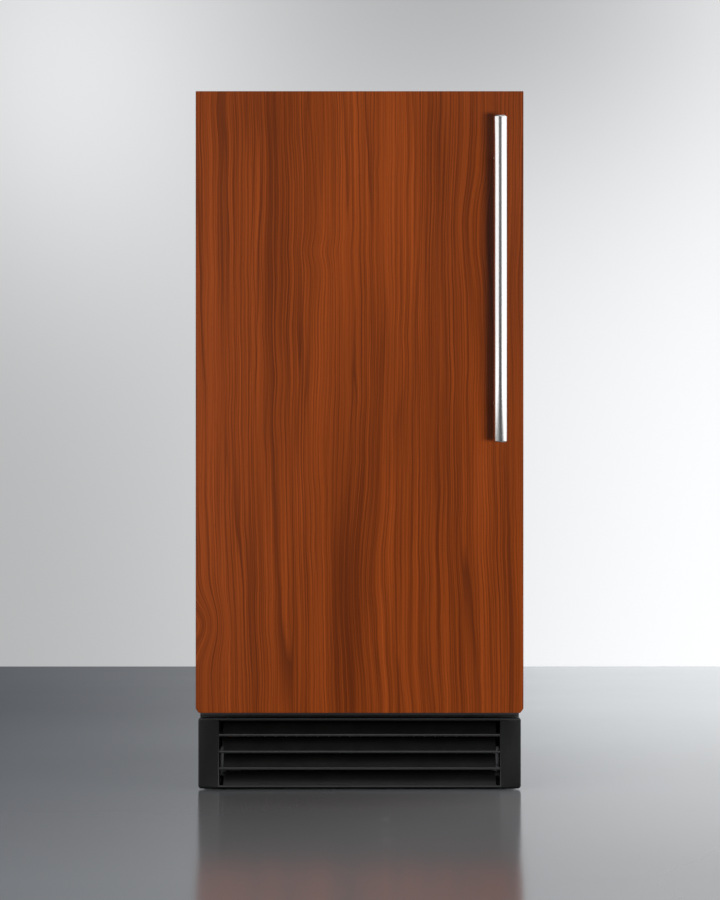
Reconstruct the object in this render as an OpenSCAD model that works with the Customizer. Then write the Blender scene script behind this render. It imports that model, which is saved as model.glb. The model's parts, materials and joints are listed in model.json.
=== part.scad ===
// Under-counter ice maker with a timber overlay door, a bar handle and a louvred toe grille.
// Millimetres, +Z up, front towards -Y, origin on the floor under the middle of the envelope.

/* [Cabinet] */
// Width across the outer side panels
cabinet_w = 374; // [366:1:380]
// Height of the cabinet's top face above the floor
cabinet_h = 802; // [796:1:806]
// Depth from the cabinet's front face to its rear face
cabinet_d = 502; // [500:1:504]
// Thickness of the outer steel sheets
sheet_t = 1.2; // [0.8:0.1:1.6]

/* [Door] */
// Width of the timber overlay panel
panel_w = 378; // [372:1:384]
// Thickness of the timber overlay panel
panel_t = 19; // [16:1:22]
// Height of the panel's lower edge above the floor
panel_low_z = 91; // [88:1:94]
// Height of the panel's upper edge above the floor
panel_top_z = 808; // [804:1:812]
// Size of the clipped lower corners of the panel
corner_clip = 3.5; // [1:0.5:6]

/* [Handle] */
// Diameter of the handle bar
bar_d = 15; // [12:0.5:18]
// Length of the handle bar
bar_len = 372.6; // [300:1:420]
// Distance from the middle of the cabinet to the bar
bar_x = 160.5; // [140:0.5:170]
// Height of the bar's middle above the floor
bar_z = 589.3; // [560:1:600]
// Distance from the panel's face to the bar's axis
bar_standoff = 40.5; // [34:0.5:41]

/* [Toe grille] */
// Height of the grille's upper edge above the floor
grille_top_z = 83.5; // [82:0.5:86]
// Number of sloping blades
blade_count = 3; // [3:1:4]
// Thickness of a blade
blade_t = 1.8; // [1.2:0.1:2.4]

/* [Ice cells] */
// Number of ice cells across the evaporator
cells_across = 10; // [8:1:10]
// Number of ice cells down the evaporator
cells_down = 8; // [6:1:8]

/* [Quality] */
// Facets on a full circle
$fn = 48; // [32:8:64]

/* [Hidden] */

// Sheet colours
steel = [0.72, 0.73, 0.75];
dark_plastic = [0.10, 0.10, 0.11];
white_plastic = [0.92, 0.93, 0.94];
copper = [0.80, 0.46, 0.30];
rubber_black = [0.07, 0.07, 0.08];
foam_cream = [0.90, 0.84, 0.62];
timber = [0.42, 0.19, 0.09];
zinc = [0.60, 0.61, 0.62];

// Cabinet planes
half_w = cabinet_w / 2;
front_y = -200;
rear_y = front_y + cabinet_d;
inside_x = half_w - sheet_t;
rear_in_y = rear_y - sheet_t;
top_under_z = cabinet_h - sheet_t;
base_z = 12;
base_t = 2;
floor_z = base_z + base_t;
deck_z = 213;
deck_t = 2;
foam_low_z = deck_z + deck_t;
base_front_y = -198;
flange_t = 1.5;
flange_h = 22;
cover_low_z = 78;
cover_t = 2;
vent_x = [-110, 0];
vent_half_w = 45;
vent_rows = 6;
vent_low_z = 112;
vent_pitch = 14;
vent_h = 5;

// Storage bin
bin_half_w = 149;
bin_low_z = 250;
bin_top_z = 762;
bin_rear_y = 270;
wall = 2;
frame_t = 10;
frame_rear_y = front_y + frame_t;

// Door stack, from the timber's back face to the seal
pan_front_y = -247;
pan_rear_y = -209;
pan_low_z = 96;
pan_top_z = 796;
pan_t = 1;
cap_t = 3;
liner_t = 2;
seal_gap = 0.3;
gasket_half_w = 172.5;
gasket_low_z = 222;
gasket_top_z = 784;
gasket_w = 14;
plug_half_w = 132;
plug_low_z = 262;
plug_top_z = 730;
plug_rise = 7;
panel_front_y = pan_front_y - panel_t;

// Door hinge
hinge_x = -173;
hinge_y = -236.5;
pin_r = 4;
pin_clear = 0.06;
pin_len = 18;
arm_t = 3;
arm_r = 7.4;
arm_gap = 0.35;
boss_r = 7;
leaf_x = [-171, -141];
leaf_t = 2.5;
leaf_h = [18, 15];
lower_arm_z = pan_low_z - 1.1 - arm_gap - arm_t;
upper_arm_z = pan_top_z + 1.1 + arm_gap;

hinge_screw_x = [-162, -148];
hinge_leg_z = [lower_arm_z + 10, upper_arm_z + arm_t - 8];

// Handle
bar_r = bar_d / 2;
bar_y = panel_front_y - bar_standoff;
post_r = 6;
post_inset = 45;
post_z = [bar_z - bar_len / 2 + post_inset, bar_z + bar_len / 2 - post_inset];
screw_r = 2.4;
tap_r = 2.5;
recess_r = 6.5;
recess_depth = 5;

// Screws that hold the timber panel to the steel pan
fix_x = [-150, 130];
fix_z = [130, 445, 770];

// Toe grille
grille_half_w = 187.4;
grille_front_y = -240;
grille_rear_y = -204;
grille_low_z = 1;
grille_plate = 3;
window_half_w = 163;
lip_h = 2;
sill_h = 2.5;
top_band = 4.2;
clip_x = 175;
clip_half_w = 5;
clip_z = [26, 56];
clip_h = 8;
blade_pitch = (grille_top_z - top_band - grille_low_z - sill_h + lip_h) / (blade_count + 1);

// Levelling feet
foot_x = 166;
foot_front_y = -170;
foot_rear_y = 280;
foot_stem_r = 4;
foot_clear = 0.05;
socket_r = 10;
socket_h = 30;
pad_r = 16;
pad_h = 5;
hex_r = 9;
hex_h = 6.4;
stem_h = 50;

// Machine compartment
condenser_x = [-140, 130];
condenser_y = -160;
condenser_low_z = 26;
tube_rows = 6;
tube_pitch = 26;
tube_r = 4;
fin_count = 22;
fan_x = -5;
fan_y = -108;
fan_z = 105;
fan_r = 74;
comp_x = -60;
comp_y = 188;
comp_r = 74;
comp_low_z = 27;
comp_plate = [168, 132, 5];
mount_x = 74;
mount_y = 56;
stub_r = 5;
shroud_x = [-143, 134];
shroud_z = [20, 190];
shroud_wall = 3;
shroud_front_y = condenser_y + 18;
shroud_rear_y = fan_y - 19;
hub_r = 20;
shaft_r = 4;
line_r = 4;
bend_r = 11;

// Ice making section
cell = 21;
cell_depth = 14;
evap_x0 = -135;
evap_w = cells_across * cell;
evap_x1 = evap_x0 + evap_w;
evap_y = 150;
evap_t = 2;
evap_low_z = 520;
evap_h = cells_down * cell;
cheek_t = 8;
cheek_x1 = 75;
cheek_front_y = 120;
sump_front_y = 122;
sump_rear_y = 195;
sump_low_z = 440;
rim_z = 490;
sump_half_w = 145;
spray_y = 143;
spray_z = 714;
spray_r = 8;
curtain_y = 129;
curtain_z = 704;
curtain_pin_r = 2.5;
pump_x = 125;
pump_y = 172;
float_x = 96;
float_y = 172;
float_post_r = 2.5;
float_h = 18;
valve_half = 15;
valve_y = [268, 296];

// Water and drain connections at the back
riser_y = 289;
inlet_x = 45;
inlet_z = 62;
thread_r = 13.2;
drain_x = 110;
drain_y = 225;
drain_z = 70;
hose_r = 7;
spigot_r = 9.5;
connection_y = 314;
gland_x = -120;
gland_z = 62;
cord_r = 4.2;

// Controls on the bin's ceiling
fascia_half_w = 90;
fascia_front_y = -186;
fascia_rear_y = -146;
fascia_low_z = 734;
fascia_wall = 2.5;
button_z = 748;
button_x = [18, 52];
button_r = 6;
display_x = [-60, -16];
display_z = [741, 755];
button_flange_y = fascia_front_y + fascia_wall + 0.3;

// Scoop and its cradle
scoop_x = 106;
scoop_z = 318;
scoop_r = 36;
scoop_front_y = -165;
scoop_rear_y = -55;
scoop_wall = 2;
grip_r = 9;
grip_len = 90;
holder_t = 3;
holder_y = [-150, -60];
holder_z = [270, 330];
arm_y = [-142, -78];
arm_z = [274, 296];
arm_x = 80;
arm_w = 5;

// Pipe routes
stub_z = 140;
stub_x = 22;
stub_rear_y = 266;
feed_x = 55;
coil_x = [-95, 35];
coil_rear_y = 172;
condenser_end_x = 137;
drier_y = [-60, -48, 18, 30];
valve_x = [91, 119];
discharge_x = 152;
liquid_x = 150;
hot_gas_x = 75;
suction_x = -115;
tee_half = 7;
tee_y = 60;
hot_gas_z = 112;
tee_z = 532;
coil_low_z = 532;
coil_pitch = 27;
coil_rows = 5;
coil_y = 156.8;
coil_r = 4.76;
coil_top_z = coil_low_z + (coil_rows - 1) * coil_pitch;
low_row_z = 38;
high_row_z = low_row_z + (tube_rows - 1) * tube_pitch;
discharge_path = [
  [stub_x, comp_y, stub_z], [discharge_x, comp_y, stub_z], [discharge_x, condenser_y, stub_z],
  [discharge_x, condenser_y, high_row_z], [condenser_end_x, condenser_y, high_row_z]
];
hot_gas_in_path = [
  [discharge_x, tee_y, stub_z - tee_half], [discharge_x, tee_y, hot_gas_z],
  [valve_x[1], tee_y, hot_gas_z]
];
hot_gas_path = [
  [valve_x[0], tee_y, hot_gas_z], [hot_gas_x, tee_y, hot_gas_z], [hot_gas_x, riser_y, hot_gas_z],
  [hot_gas_x, riser_y, tee_z - tee_half]
];
liquid_in_path = [
  [condenser_end_x, condenser_y, low_row_z], [liquid_x, condenser_y, low_row_z],
  [liquid_x, drier_y[0], low_row_z]
];
liquid_path = [
  [liquid_x, drier_y[3], low_row_z], [liquid_x, riser_y, low_row_z], [liquid_x, riser_y, tee_z],
  [feed_x, riser_y, tee_z], [feed_x, coil_rear_y, tee_z]
];
suction_path = [
  [suction_x, coil_rear_y, coil_top_z], [suction_x, riser_y, coil_top_z], [suction_x, riser_y, stub_z],
  [suction_x, stub_rear_y, stub_z]
];
inlet_path = [
  [inlet_x, riser_y, inlet_z + valve_half], [inlet_x, riser_y, 505], [inlet_x, 182, 505], [inlet_x, 182, 493]
];
drain_path = [[drain_x, drain_y, 249], [drain_x, drain_y, drain_z], [drain_x, 290, drain_z]];
pump_path = [
  [pump_x, 151, 456], [pump_x, spray_y, 456], [pump_x, spray_y, spray_z], [96, spray_y, spray_z]
];

// A box given by its two opposite corners
module box(low, high) {
  translate(low) cube(high - low);
}

// A cylinder along Y from y0 to y1
module rod_y(x, z, y0, y1, r) {
  translate([x, y1, z]) rotate([90, 0, 0]) cylinder(r = r, h = y1 - y0);
}

// A cylinder along X from x0 to x1
module rod_x(y, z, x0, x1, r) {
  translate([x0, y, z]) rotate([0, 90, 0]) cylinder(r = r, h = x1 - x0);
}

// A flat outline in X and Z, drawn out along Y from y0 to y1
module plate_y(y0, y1) {
  translate([0, y1, 0]) rotate([90, 0, 0]) linear_extrude(height = y1 - y0) children();
}

// A rectangular ring in X and Z, drawn out along Y
module ring_y(half, low_z, top_z, width, y0, y1) {
  difference() {
    box([-half, y0, low_z], [half, y1, top_z]);
    box([-half + width, y0 - 1, low_z + width], [half - width, y1 + 1, top_z - width]);
  }
}

// Unit vector from a to b
function toward(a, b) = (b - a) / norm(b - a);

// Straight pipe between two points on one axis direction
module straight(a, b, r) {
  d = toward(a, b);
  side = abs(d[2]) > 0.5 ? [1, 0, 0] : [0, 0, 1];
  up = cross(d, side);
  multmatrix([
    [side[0], up[0], d[0], a[0]],
    [side[1], up[1], d[1], a[1]],
    [side[2], up[2], d[2], a[2]],
    [0, 0, 0, 1]
  ]) cylinder(r = r, h = norm(b - a));
}

// Quarter bend at corner c between unit directions a and b
module bend(c, a, b, r, radius) {
  o = c - a * radius + b * radius;
  z = cross(a, b);
  multmatrix([
    [-b[0], a[0], z[0], o[0]],
    [-b[1], a[1], z[1], o[1]],
    [-b[2], a[2], z[2], o[2]],
    [0, 0, 0, 1]
  ]) rotate_extrude(angle = 90) translate([radius, 0]) circle(r = r);
}

// Pipe along square-cornered points with round bends
module pipe(points, r, radius) {
  last = len(points) - 1;
  for (i = [0 : last - 1]) {
    d = toward(points[i], points[i + 1]);
    straight(
      points[i] + d * (i == 0 ? 0 : radius),
      points[i + 1] - d * (i == last - 1 ? 0 : radius),
      r
    );
  }
  for (i = [1 : last - 1])
    bend(points[i], toward(points[i - 1], points[i]), toward(points[i], points[i + 1]), r, radius);
}

// Half-turn bend between two rows of a serpentine; side is 1 on the +X end and -1 on the -X end
module u_bend(x, y, z, side, pitch, r) {
  half = pitch / 2;
  bend([x + side * half, y, z - half], [side, 0, 0], [0, 0, 1], r, half);
  bend([x + side * half, y, z + half], [0, 0, 1], [-side, 0, 0], r, half);
}

// Square brass tee body
module tee(centre, half) {
  translate(centre) cube(2 * half, center = true);
}

// Clearance around every pipe that crosses the insulation, liner and deck
module pipe_channels(extra) {
  pipe(hot_gas_path, line_r + extra, bend_r);
  pipe(liquid_path, line_r + extra, bend_r);
  pipe(suction_path, line_r + extra, bend_r);
  pipe(inlet_path, line_r + extra, 10);
  pipe(drain_path, hose_r + extra, 16);
  tee([hot_gas_x, riser_y, tee_z], tee_half + extra);
}

module left_side_panel() {
  color(steel) box([-half_w, front_y, base_z], [-inside_x, rear_y, top_under_z]);
}

module right_side_panel() {
  color(steel) box([inside_x, front_y, base_z], [half_w, rear_y, top_under_z]);
}

// Top sheet with a front lip that screws up into the worktop
module top_panel() {
  color(steel) difference() {
    union() {
      box([-half_w, front_y, top_under_z], [half_w, rear_y, cabinet_h]);
      box([-145, front_y - 14, top_under_z], [145, front_y, cabinet_h]);
    }
    for (x = [-130, 130])
      translate([x, front_y - 7, top_under_z - 1]) cylinder(r = 2.5, h = sheet_t + 2);
  }
}

module rear_panel() {
  color(steel) box([-inside_x, rear_in_y, foam_low_z], [inside_x, rear_y, top_under_z]);
}

// Lower rear cover with air slots and holes for the water, drain and cord connections
module rear_service_cover() {
  color(steel) difference() {
    box([-inside_x, rear_in_y, floor_z], [inside_x, rear_y, deck_z]);
    for (row = [0 : vent_rows - 1])
      for (x = vent_x)
        translate([x - vent_half_w, rear_in_y - 1, vent_low_z + row * vent_pitch])
          cube([2 * vent_half_w, sheet_t + 2, vent_h]);
    rod_y(inlet_x, inlet_z, rear_in_y - 1, rear_y + 1, thread_r + 2.1);
    rod_y(drain_x, drain_z, rear_in_y - 1, rear_y + 1, spigot_r + 2.1);
    rod_y(gland_x, gland_z, rear_in_y - 1, rear_y + 1, 9);
  }
}

// Base tray with upturned sides and clearance holes for the feet
module base_pan() {
  color(zinc) difference() {
    union() {
      box([-inside_x, base_front_y, base_z], [inside_x, rear_in_y, floor_z]);
      for (side = [-1, 1])
        translate([side > 0 ? inside_x - flange_t : -inside_x, base_front_y, floor_z])
          cube([flange_t, rear_in_y - base_front_y, flange_h]);
    }
    for (x = [-foot_x, foot_x])
      for (y = [foot_front_y, foot_rear_y])
        translate([x, y, base_z - 1]) cylinder(r = foot_stem_r + 2, h = base_t + 2);
  }
}

// Shelf between the machine compartment and the insulated bin
module bin_deck() {
  color(zinc) difference() {
    box([-inside_x, base_front_y, deck_z], [inside_x, rear_in_y, foam_low_z]);
    pipe_channels(1);
  }
}

// Foam around the bin as five slabs
module insulation() {
  color(foam_cream) difference() {
    union() {
      box([-inside_x, frame_rear_y, foam_low_z], [inside_x, rear_in_y, bin_low_z - wall]);
      box([-inside_x, frame_rear_y, bin_top_z + wall], [inside_x, rear_in_y, top_under_z]);
      box([-inside_x, bin_rear_y + wall, bin_low_z - wall], [inside_x, rear_in_y, bin_top_z + wall]);
      for (side = [-1, 1])
        translate([side < 0 ? -inside_x : bin_half_w + wall, frame_rear_y, bin_low_z - wall])
          cube([
            inside_x - bin_half_w - wall,
            bin_rear_y + wall - frame_rear_y,
            bin_top_z - bin_low_z + 2 * wall
          ]);
    }
    pipe_channels(0.5);
  }
}

// Moulded bin, open at the front, with pipe holes in the back and a drain hole in the floor
module inner_liner() {
  color(white_plastic) difference() {
    box([-bin_half_w - wall, frame_rear_y, bin_low_z - wall],
        [bin_half_w + wall, bin_rear_y + wall, bin_top_z + wall]);
    box([-bin_half_w, frame_rear_y - 1, bin_low_z], [bin_half_w, bin_rear_y, bin_top_z]);
    pipe_channels(0.5);
    translate([drain_x, drain_y, bin_low_z - wall - 1]) cylinder(r = hose_r + 0.5, h = wall + 2);
  }
}

// Frame around the bin's mouth, which the door seal closes against
module front_face_frame() {
  color(white_plastic) difference() {
    box([-inside_x, front_y, foam_low_z], [inside_x, frame_rear_y, top_under_z]);
    box([-bin_half_w, front_y - 1, bin_low_z], [bin_half_w, frame_rear_y + 1, bin_top_z]);
    for (x = hinge_screw_x)
      rod_y(x, hinge_leg_z[1], front_y - 1, front_y + 8.2, 1.8);
  }
}

// Steel cover over the front of the machine compartment, above the grille
module lower_front_panel() {
  color(zinc) difference() {
    box([-inside_x, front_y, cover_low_z], [inside_x, front_y + cover_t, deck_z]);
    for (x = hinge_screw_x)
      rod_y(x, hinge_leg_z[0], front_y - 1, front_y + 3, 1.8);
  }
}

// Profile of one sloping blade in Y and Z, with a short upright lip at its front
module blade_outline() {
  polygon([
    [0, 0], [0, lip_h], [1.2, lip_h + 0.4], [17, blade_pitch - 1.2],
    [17, blade_pitch - 1.2 - blade_t], [1.6, 0]
  ]);
}

// Louvred toe grille with plain side columns and returns that reach back to the cabinet
module kick_grille() {
  color(dark_plastic) {
    difference() {
      plate_y(grille_front_y, grille_front_y + grille_plate) offset(r = 3)
        translate([-grille_half_w + 3, grille_low_z + 3])
          square([2 * grille_half_w - 6, grille_top_z - grille_low_z - 6]);
      box([-window_half_w, grille_front_y - 1, grille_low_z + sill_h],
          [window_half_w, grille_front_y + grille_plate + 1, grille_top_z - top_band]);
    }
    box([-grille_half_w + 3, grille_front_y + grille_plate, grille_top_z - 2.4],
        [grille_half_w - 3, grille_rear_y, grille_top_z - 0.4]);
    for (side = [-1, 1])
      for (x = [window_half_w, grille_half_w - 2.4])
        translate([side > 0 ? x : -x - 2, grille_front_y + grille_plate, grille_low_z + 4])
          cube([2, grille_rear_y - grille_front_y - grille_plate, grille_top_z - grille_low_z - 6.4]);
    for (i = [0 : blade_count - 1])
      translate([-window_half_w, grille_front_y + 0.4, grille_low_z + sill_h + (i + 1) * blade_pitch - lip_h])
        rotate([90, 0, 90]) linear_extrude(height = 2 * window_half_w) blade_outline();
    translate([-window_half_w, grille_front_y + grille_plate, grille_low_z + 1])
      rotate([90, 0, 90]) linear_extrude(height = 2 * window_half_w)
        polygon([[0, 0], [0, sill_h - 1], [14, blade_pitch - 1], [14, blade_pitch - 2.8], [2, 0]]);
  }
}

// Spring clips that hold the grille to the base
module grille_clips() {
  color(zinc)
    for (x = [-clip_x, clip_x])
      for (z = clip_z)
        box([x - clip_half_w, grille_rear_y, z], [x + clip_half_w, base_front_y, z + clip_h]);
}

// Threaded bosses for the levelling feet
module foot_sockets() {
  color(zinc)
    for (x = [-foot_x, foot_x])
      for (y = [foot_front_y, foot_rear_y])
        translate([x, y, floor_z]) difference() {
          cylinder(r = socket_r, h = socket_h);
          translate([0, 0, -1]) cylinder(r = foot_stem_r + foot_clear, h = socket_h + 2);
        }
}

// One levelling foot, fully screwed in
module levelling_foot(x, y) {
  color(rubber_black) translate([x, y, 0]) {
    cylinder(r = pad_r, h = pad_h);
    translate([0, 0, pad_h]) cylinder(r = hex_r, h = hex_h, $fn = 6);
    translate([0, 0, pad_h + hex_h]) cylinder(r = foot_stem_r, h = stem_h);
  }
}

module foot_front_left() {
  levelling_foot(-foot_x, foot_front_y);
}

module foot_front_right() {
  levelling_foot(foot_x, foot_front_y);
}

module foot_rear_left() {
  levelling_foot(-foot_x, foot_rear_y);
}

module foot_rear_right() {
  levelling_foot(foot_x, foot_rear_y);
}

// Horizontal hinge arm, seen from above
module arm_outline() {
  hull() {
    translate([hinge_x, hinge_y]) circle(r = arm_r);
    translate([leaf_x[0], front_y - leaf_t]) square([leaf_x[1] - leaf_x[0], leaf_t]);
  }
}

// Upper and lower door hinges with their pins
module hinge_brackets() {
  color(steel) {
    translate([0, 0, lower_arm_z]) linear_extrude(height = arm_t) arm_outline();
    translate([0, 0, upper_arm_z]) linear_extrude(height = arm_t) arm_outline();
    translate([hinge_x, hinge_y, lower_arm_z + arm_t - 0.5]) cylinder(r = pin_r, h = pin_len + 0.5);
    translate([hinge_x, hinge_y, upper_arm_z - pin_len]) cylinder(r = pin_r, h = pin_len + 0.5);
    for (i = [0, 1])
      difference() {
        box([leaf_x[0], front_y - leaf_t, i == 0 ? lower_arm_z : upper_arm_z + arm_t - leaf_h[1]],
            [leaf_x[1], front_y, i == 0 ? lower_arm_z + leaf_h[0] : upper_arm_z + arm_t]);
        for (x = hinge_screw_x)
          rod_y(x, hinge_leg_z[i], front_y - 4, front_y + 1, 1.9);
      }
  }
}

// Pan-head screws through the hinge legs
module hinge_screws() {
  color(steel)
    for (x = hinge_screw_x)
      for (z = hinge_leg_z) {
        rod_y(x, z, front_y - leaf_t - 1.9, front_y - leaf_t, 3.4);
        rod_y(x, z, front_y - leaf_t, front_y + 7, 1.7);
      }
}

// Timber overlay panel with clipped lower corners, handle holes and blind screw holes
module door_panel() {
  color(timber) difference() {
    plate_y(panel_front_y, pan_front_y)
      polygon([
        [-panel_w / 2 + corner_clip, panel_low_z], [panel_w / 2 - corner_clip, panel_low_z],
        [panel_w / 2, panel_low_z + corner_clip + 1.5], [panel_w / 2, panel_top_z],
        [-panel_w / 2, panel_top_z], [-panel_w / 2, panel_low_z + corner_clip + 1.5]
      ]);
    for (z = post_z) {
      rod_y(bar_x, z, panel_front_y - 1, pan_front_y + 1, tap_r + 0.2);
      rod_y(bar_x, z, pan_front_y - recess_depth, pan_front_y + 1, recess_r);
    }
    for (x = fix_x)
      for (z = fix_z)
        rod_y(x, z, pan_front_y - 12.5, pan_front_y + 1, 2.1);
  }
}

// Folded steel pan behind the timber
module door_outer_pan() {
  color(steel) difference() {
    union() {
      box([-half_w, pan_front_y, pan_low_z + cap_t], [half_w, pan_front_y + pan_t, pan_top_z - cap_t]);
      for (side = [-1, 1])
        translate([side > 0 ? half_w - pan_t : -half_w, pan_front_y, pan_low_z + cap_t])
          cube([pan_t, pan_rear_y - pan_front_y, pan_top_z - pan_low_z - 2 * cap_t]);
    }
    for (x = fix_x)
      for (z = fix_z)
        rod_y(x, z, pan_front_y - 1, pan_front_y + pan_t + 1, 2.2);
  }
}

// Nylon end caps of the door, each with a bored boss that turns on a hinge pin
module door_end_caps() {
  color(dark_plastic)
    for (top = [0, 1])
      difference() {
        union() {
          box([-half_w, pan_front_y, top ? pan_top_z - cap_t : pan_low_z],
              [half_w, pan_rear_y, top ? pan_top_z : pan_low_z + cap_t]);
          translate([hinge_x, hinge_y, top ? pan_top_z - 24 : pan_low_z - 1.1])
            cylinder(r = boss_r, h = 25.1);
        }
        translate([hinge_x, hinge_y, top ? pan_top_z - 20 : pan_low_z - 2])
          cylinder(r = pin_r + pin_clear, h = 22);
      }
}

// Foam core of the door, with room for the hinge bosses and the screw heads
module door_foam() {
  color(foam_cream) difference() {
    union() {
      box([-half_w + pan_t, pan_front_y + pan_t, pan_low_z + cap_t],
          [half_w - pan_t, pan_rear_y - liner_t, pan_top_z - cap_t]);
      box([-plug_half_w + liner_t, pan_rear_y - liner_t, plug_low_z + liner_t],
          [plug_half_w - liner_t, pan_rear_y + plug_rise - liner_t, plug_top_z - liner_t]);
    }
    for (z = [pan_low_z - 2, pan_top_z - 24])
      translate([hinge_x, hinge_y, z]) cylinder(r = boss_r, h = 26);
    for (x = fix_x)
      for (z = fix_z)
        rod_y(x, z, pan_front_y, pan_front_y + 5, 5);
  }
}

// Moulded inner face of the door with a raised middle
module door_inner_liner() {
  color(white_plastic) difference() {
    union() {
      box([-half_w + pan_t, pan_rear_y - liner_t, pan_low_z + cap_t],
          [half_w - pan_t, pan_rear_y, pan_top_z - cap_t]);
      box([-plug_half_w, pan_rear_y, plug_low_z], [plug_half_w, pan_rear_y + plug_rise, plug_top_z]);
    }
    box([-plug_half_w + liner_t, pan_rear_y - liner_t - 1, plug_low_z + liner_t],
        [plug_half_w - liner_t, pan_rear_y + plug_rise - liner_t, plug_top_z - liner_t]);
  }
}

// Magnetic seal: a base strip and a narrower bulb
module door_gasket() {
  color(rubber_black) {
    ring_y(gasket_half_w, gasket_low_z, gasket_top_z, gasket_w, pan_rear_y, pan_rear_y + 3);
    ring_y(gasket_half_w - 2, gasket_low_z + 2, gasket_top_z - 2, gasket_w - 4,
           pan_rear_y + 3, front_y - seal_gap);
  }
}

// Round bar with chamfered ends and two cross holes for the post screws
module handle_bar() {
  color(steel) difference() {
    translate([bar_x, bar_y, bar_z - bar_len / 2]) rotate_extrude()
      polygon([
        [0, 0], [bar_r - 1.6, 0], [bar_r, 1.6], [bar_r, bar_len - 1.6], [bar_r - 1.6, bar_len], [0, bar_len]
      ]);
    for (z = post_z)
      rod_y(bar_x, z, bar_y - 2, bar_y + bar_r + 1, tap_r);
  }
}

// Standoff posts between the panel and the bar
module handle_posts() {
  color(steel)
    for (z = post_z)
      difference() {
        rod_y(bar_x, z, bar_y + 2, panel_front_y, post_r);
        translate([bar_x, bar_y, z - 12]) cylinder(r = bar_r, h = 24);
        rod_y(bar_x, z, bar_y, panel_front_y + 1, tap_r);
      }
}

// Long screws from the back of the timber through the posts into the bar
module handle_screws() {
  color(zinc)
    for (z = post_z) {
      rod_y(bar_x, z, pan_front_y - recess_depth, pan_front_y - 1, 5.5);
      rod_y(bar_x, z, bar_y + 1, pan_front_y - recess_depth, screw_r);
    }
}

// Short screws from the pan into the back of the timber
module panel_screws() {
  color(zinc)
    for (x = fix_x)
      for (z = fix_z) {
        rod_y(x, z, pan_front_y - 12, pan_front_y + pan_t, 2);
        rod_y(x, z, pan_front_y + pan_t, pan_front_y + pan_t + 2.5, 4.2);
      }
}

// Hermetic compressor: domed can, foot plate and two pipe stubs
module compressor() {
  color(rubber_black) {
    translate([comp_x, comp_y, 0]) difference() {
      union() {
        translate([0, 0, comp_low_z + 5]) rotate_extrude()
          polygon([
            [0, 0], [40, 0], [58, 6], [70, 20], [comp_r, 40], [comp_r, 66], [comp_r + 2, 67],
            [comp_r + 2, 71], [comp_r, 72], [comp_r, 110], [68, 130], [50, 144], [26, 151], [0, 152]
          ]);
        translate([-comp_plate[0] / 2, -comp_plate[1] / 2, comp_low_z]) cube(comp_plate);
      }
      for (x = [-mount_x, mount_x])
        for (y = [-mount_y, mount_y])
          translate([x, y, comp_low_z - 1]) cylinder(r = 5, h = 7);
    }
    rod_x(comp_y, stub_z, 0, stub_x, stub_r);
    rod_y(suction_x, stub_z, 215, stub_rear_y, stub_r);
  }
}

// Rubber mounts between the compressor's foot plate and the base
module compressor_grommets() {
  color(rubber_black)
    for (x = [-mount_x, mount_x])
      for (y = [-mount_y, mount_y])
        translate([comp_x + x, comp_y + y, floor_z]) {
          cylinder(r = 9, h = comp_low_z - floor_z);
          translate([0, 0, comp_low_z - floor_z]) cylinder(r = 4.8, h = 8);
          translate([0, 0, comp_low_z - floor_z + 5]) cylinder(r = 8, h = 3);
        }
}

// Cover over the compressor's electrical terminals, on a flat mounting block
module terminal_box() {
  color(dark_plastic) difference() {
    box([comp_x - 24, comp_y - comp_r - 22, 70], [comp_x + 24, comp_y - 50, 126]);
    translate([comp_x, comp_y, 60]) cylinder(r = comp_r + 2.3, h = 80);
  }
}

// Serpentine condenser tube
module condenser_coil() {
  color(copper) {
    for (row = [0 : tube_rows - 1])
      rod_x(condenser_y, low_row_z + row * tube_pitch, condenser_x[0], condenser_x[1], tube_r);
    for (row = [0 : tube_rows - 2])
      u_bend(condenser_x[row % 2], condenser_y, low_row_z + (row + 0.5) * tube_pitch,
             row % 2 ? 1 : -1, tube_pitch, tube_r);
    for (z = [low_row_z, high_row_z])
      rod_x(condenser_y, z, condenser_x[1], condenser_end_x, tube_r);
  }
}

// Thin plates on the condenser tube, between two end sheets
module condenser_fins() {
  color(steel)
    for (i = [0 : fin_count - 1])
      translate([condenser_x[0] + 2 + i * (condenser_x[1] - condenser_x[0] - 5) / (fin_count - 1), 0, 0])
        difference() {
          translate([0, condenser_y - 18, condenser_low_z - 4]) cube([1, 36, 160]);
          for (row = [0 : tube_rows - 1])
            rod_x(condenser_y, low_row_z + row * tube_pitch, -1, 2, tube_r + 0.05);
        }
}

// Box between the condenser and the fan, with the fan's ring
module fan_shroud() {
  color(dark_plastic) {
    difference() {
      box([shroud_x[0], shroud_front_y, shroud_z[0]], [shroud_x[1], shroud_rear_y, shroud_z[1]]);
      box([shroud_x[0] + shroud_wall, shroud_front_y - 1, shroud_z[0] + shroud_wall],
          [shroud_x[1] - shroud_wall, shroud_rear_y - shroud_wall, shroud_z[1] - shroud_wall]);
      rod_y(fan_x, fan_z, shroud_rear_y - 11, fan_y, fan_r + 3);
    }
    difference() {
      rod_y(fan_x, fan_z, shroud_rear_y, fan_y + 12, fan_r + 6);
      rod_y(fan_x, fan_z, shroud_rear_y - 1, fan_y + 13, fan_r + 3);
    }
  }
}

// Fan motor on four struts, with the shaft that carries the blades
module fan_motor() {
  color(zinc) {
    rod_y(fan_x, fan_z, fan_y + 15, fan_y + 56, 24);
    rod_y(fan_x, fan_z, fan_y - 11, fan_y + 18, shaft_r);
    for (turn = [45 : 90 : 315])
      translate([fan_x, fan_y + 12, fan_z]) rotate([0, turn, 0]) translate([14, 0, -3]) cube([66, 6, 6]);
  }
}

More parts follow.
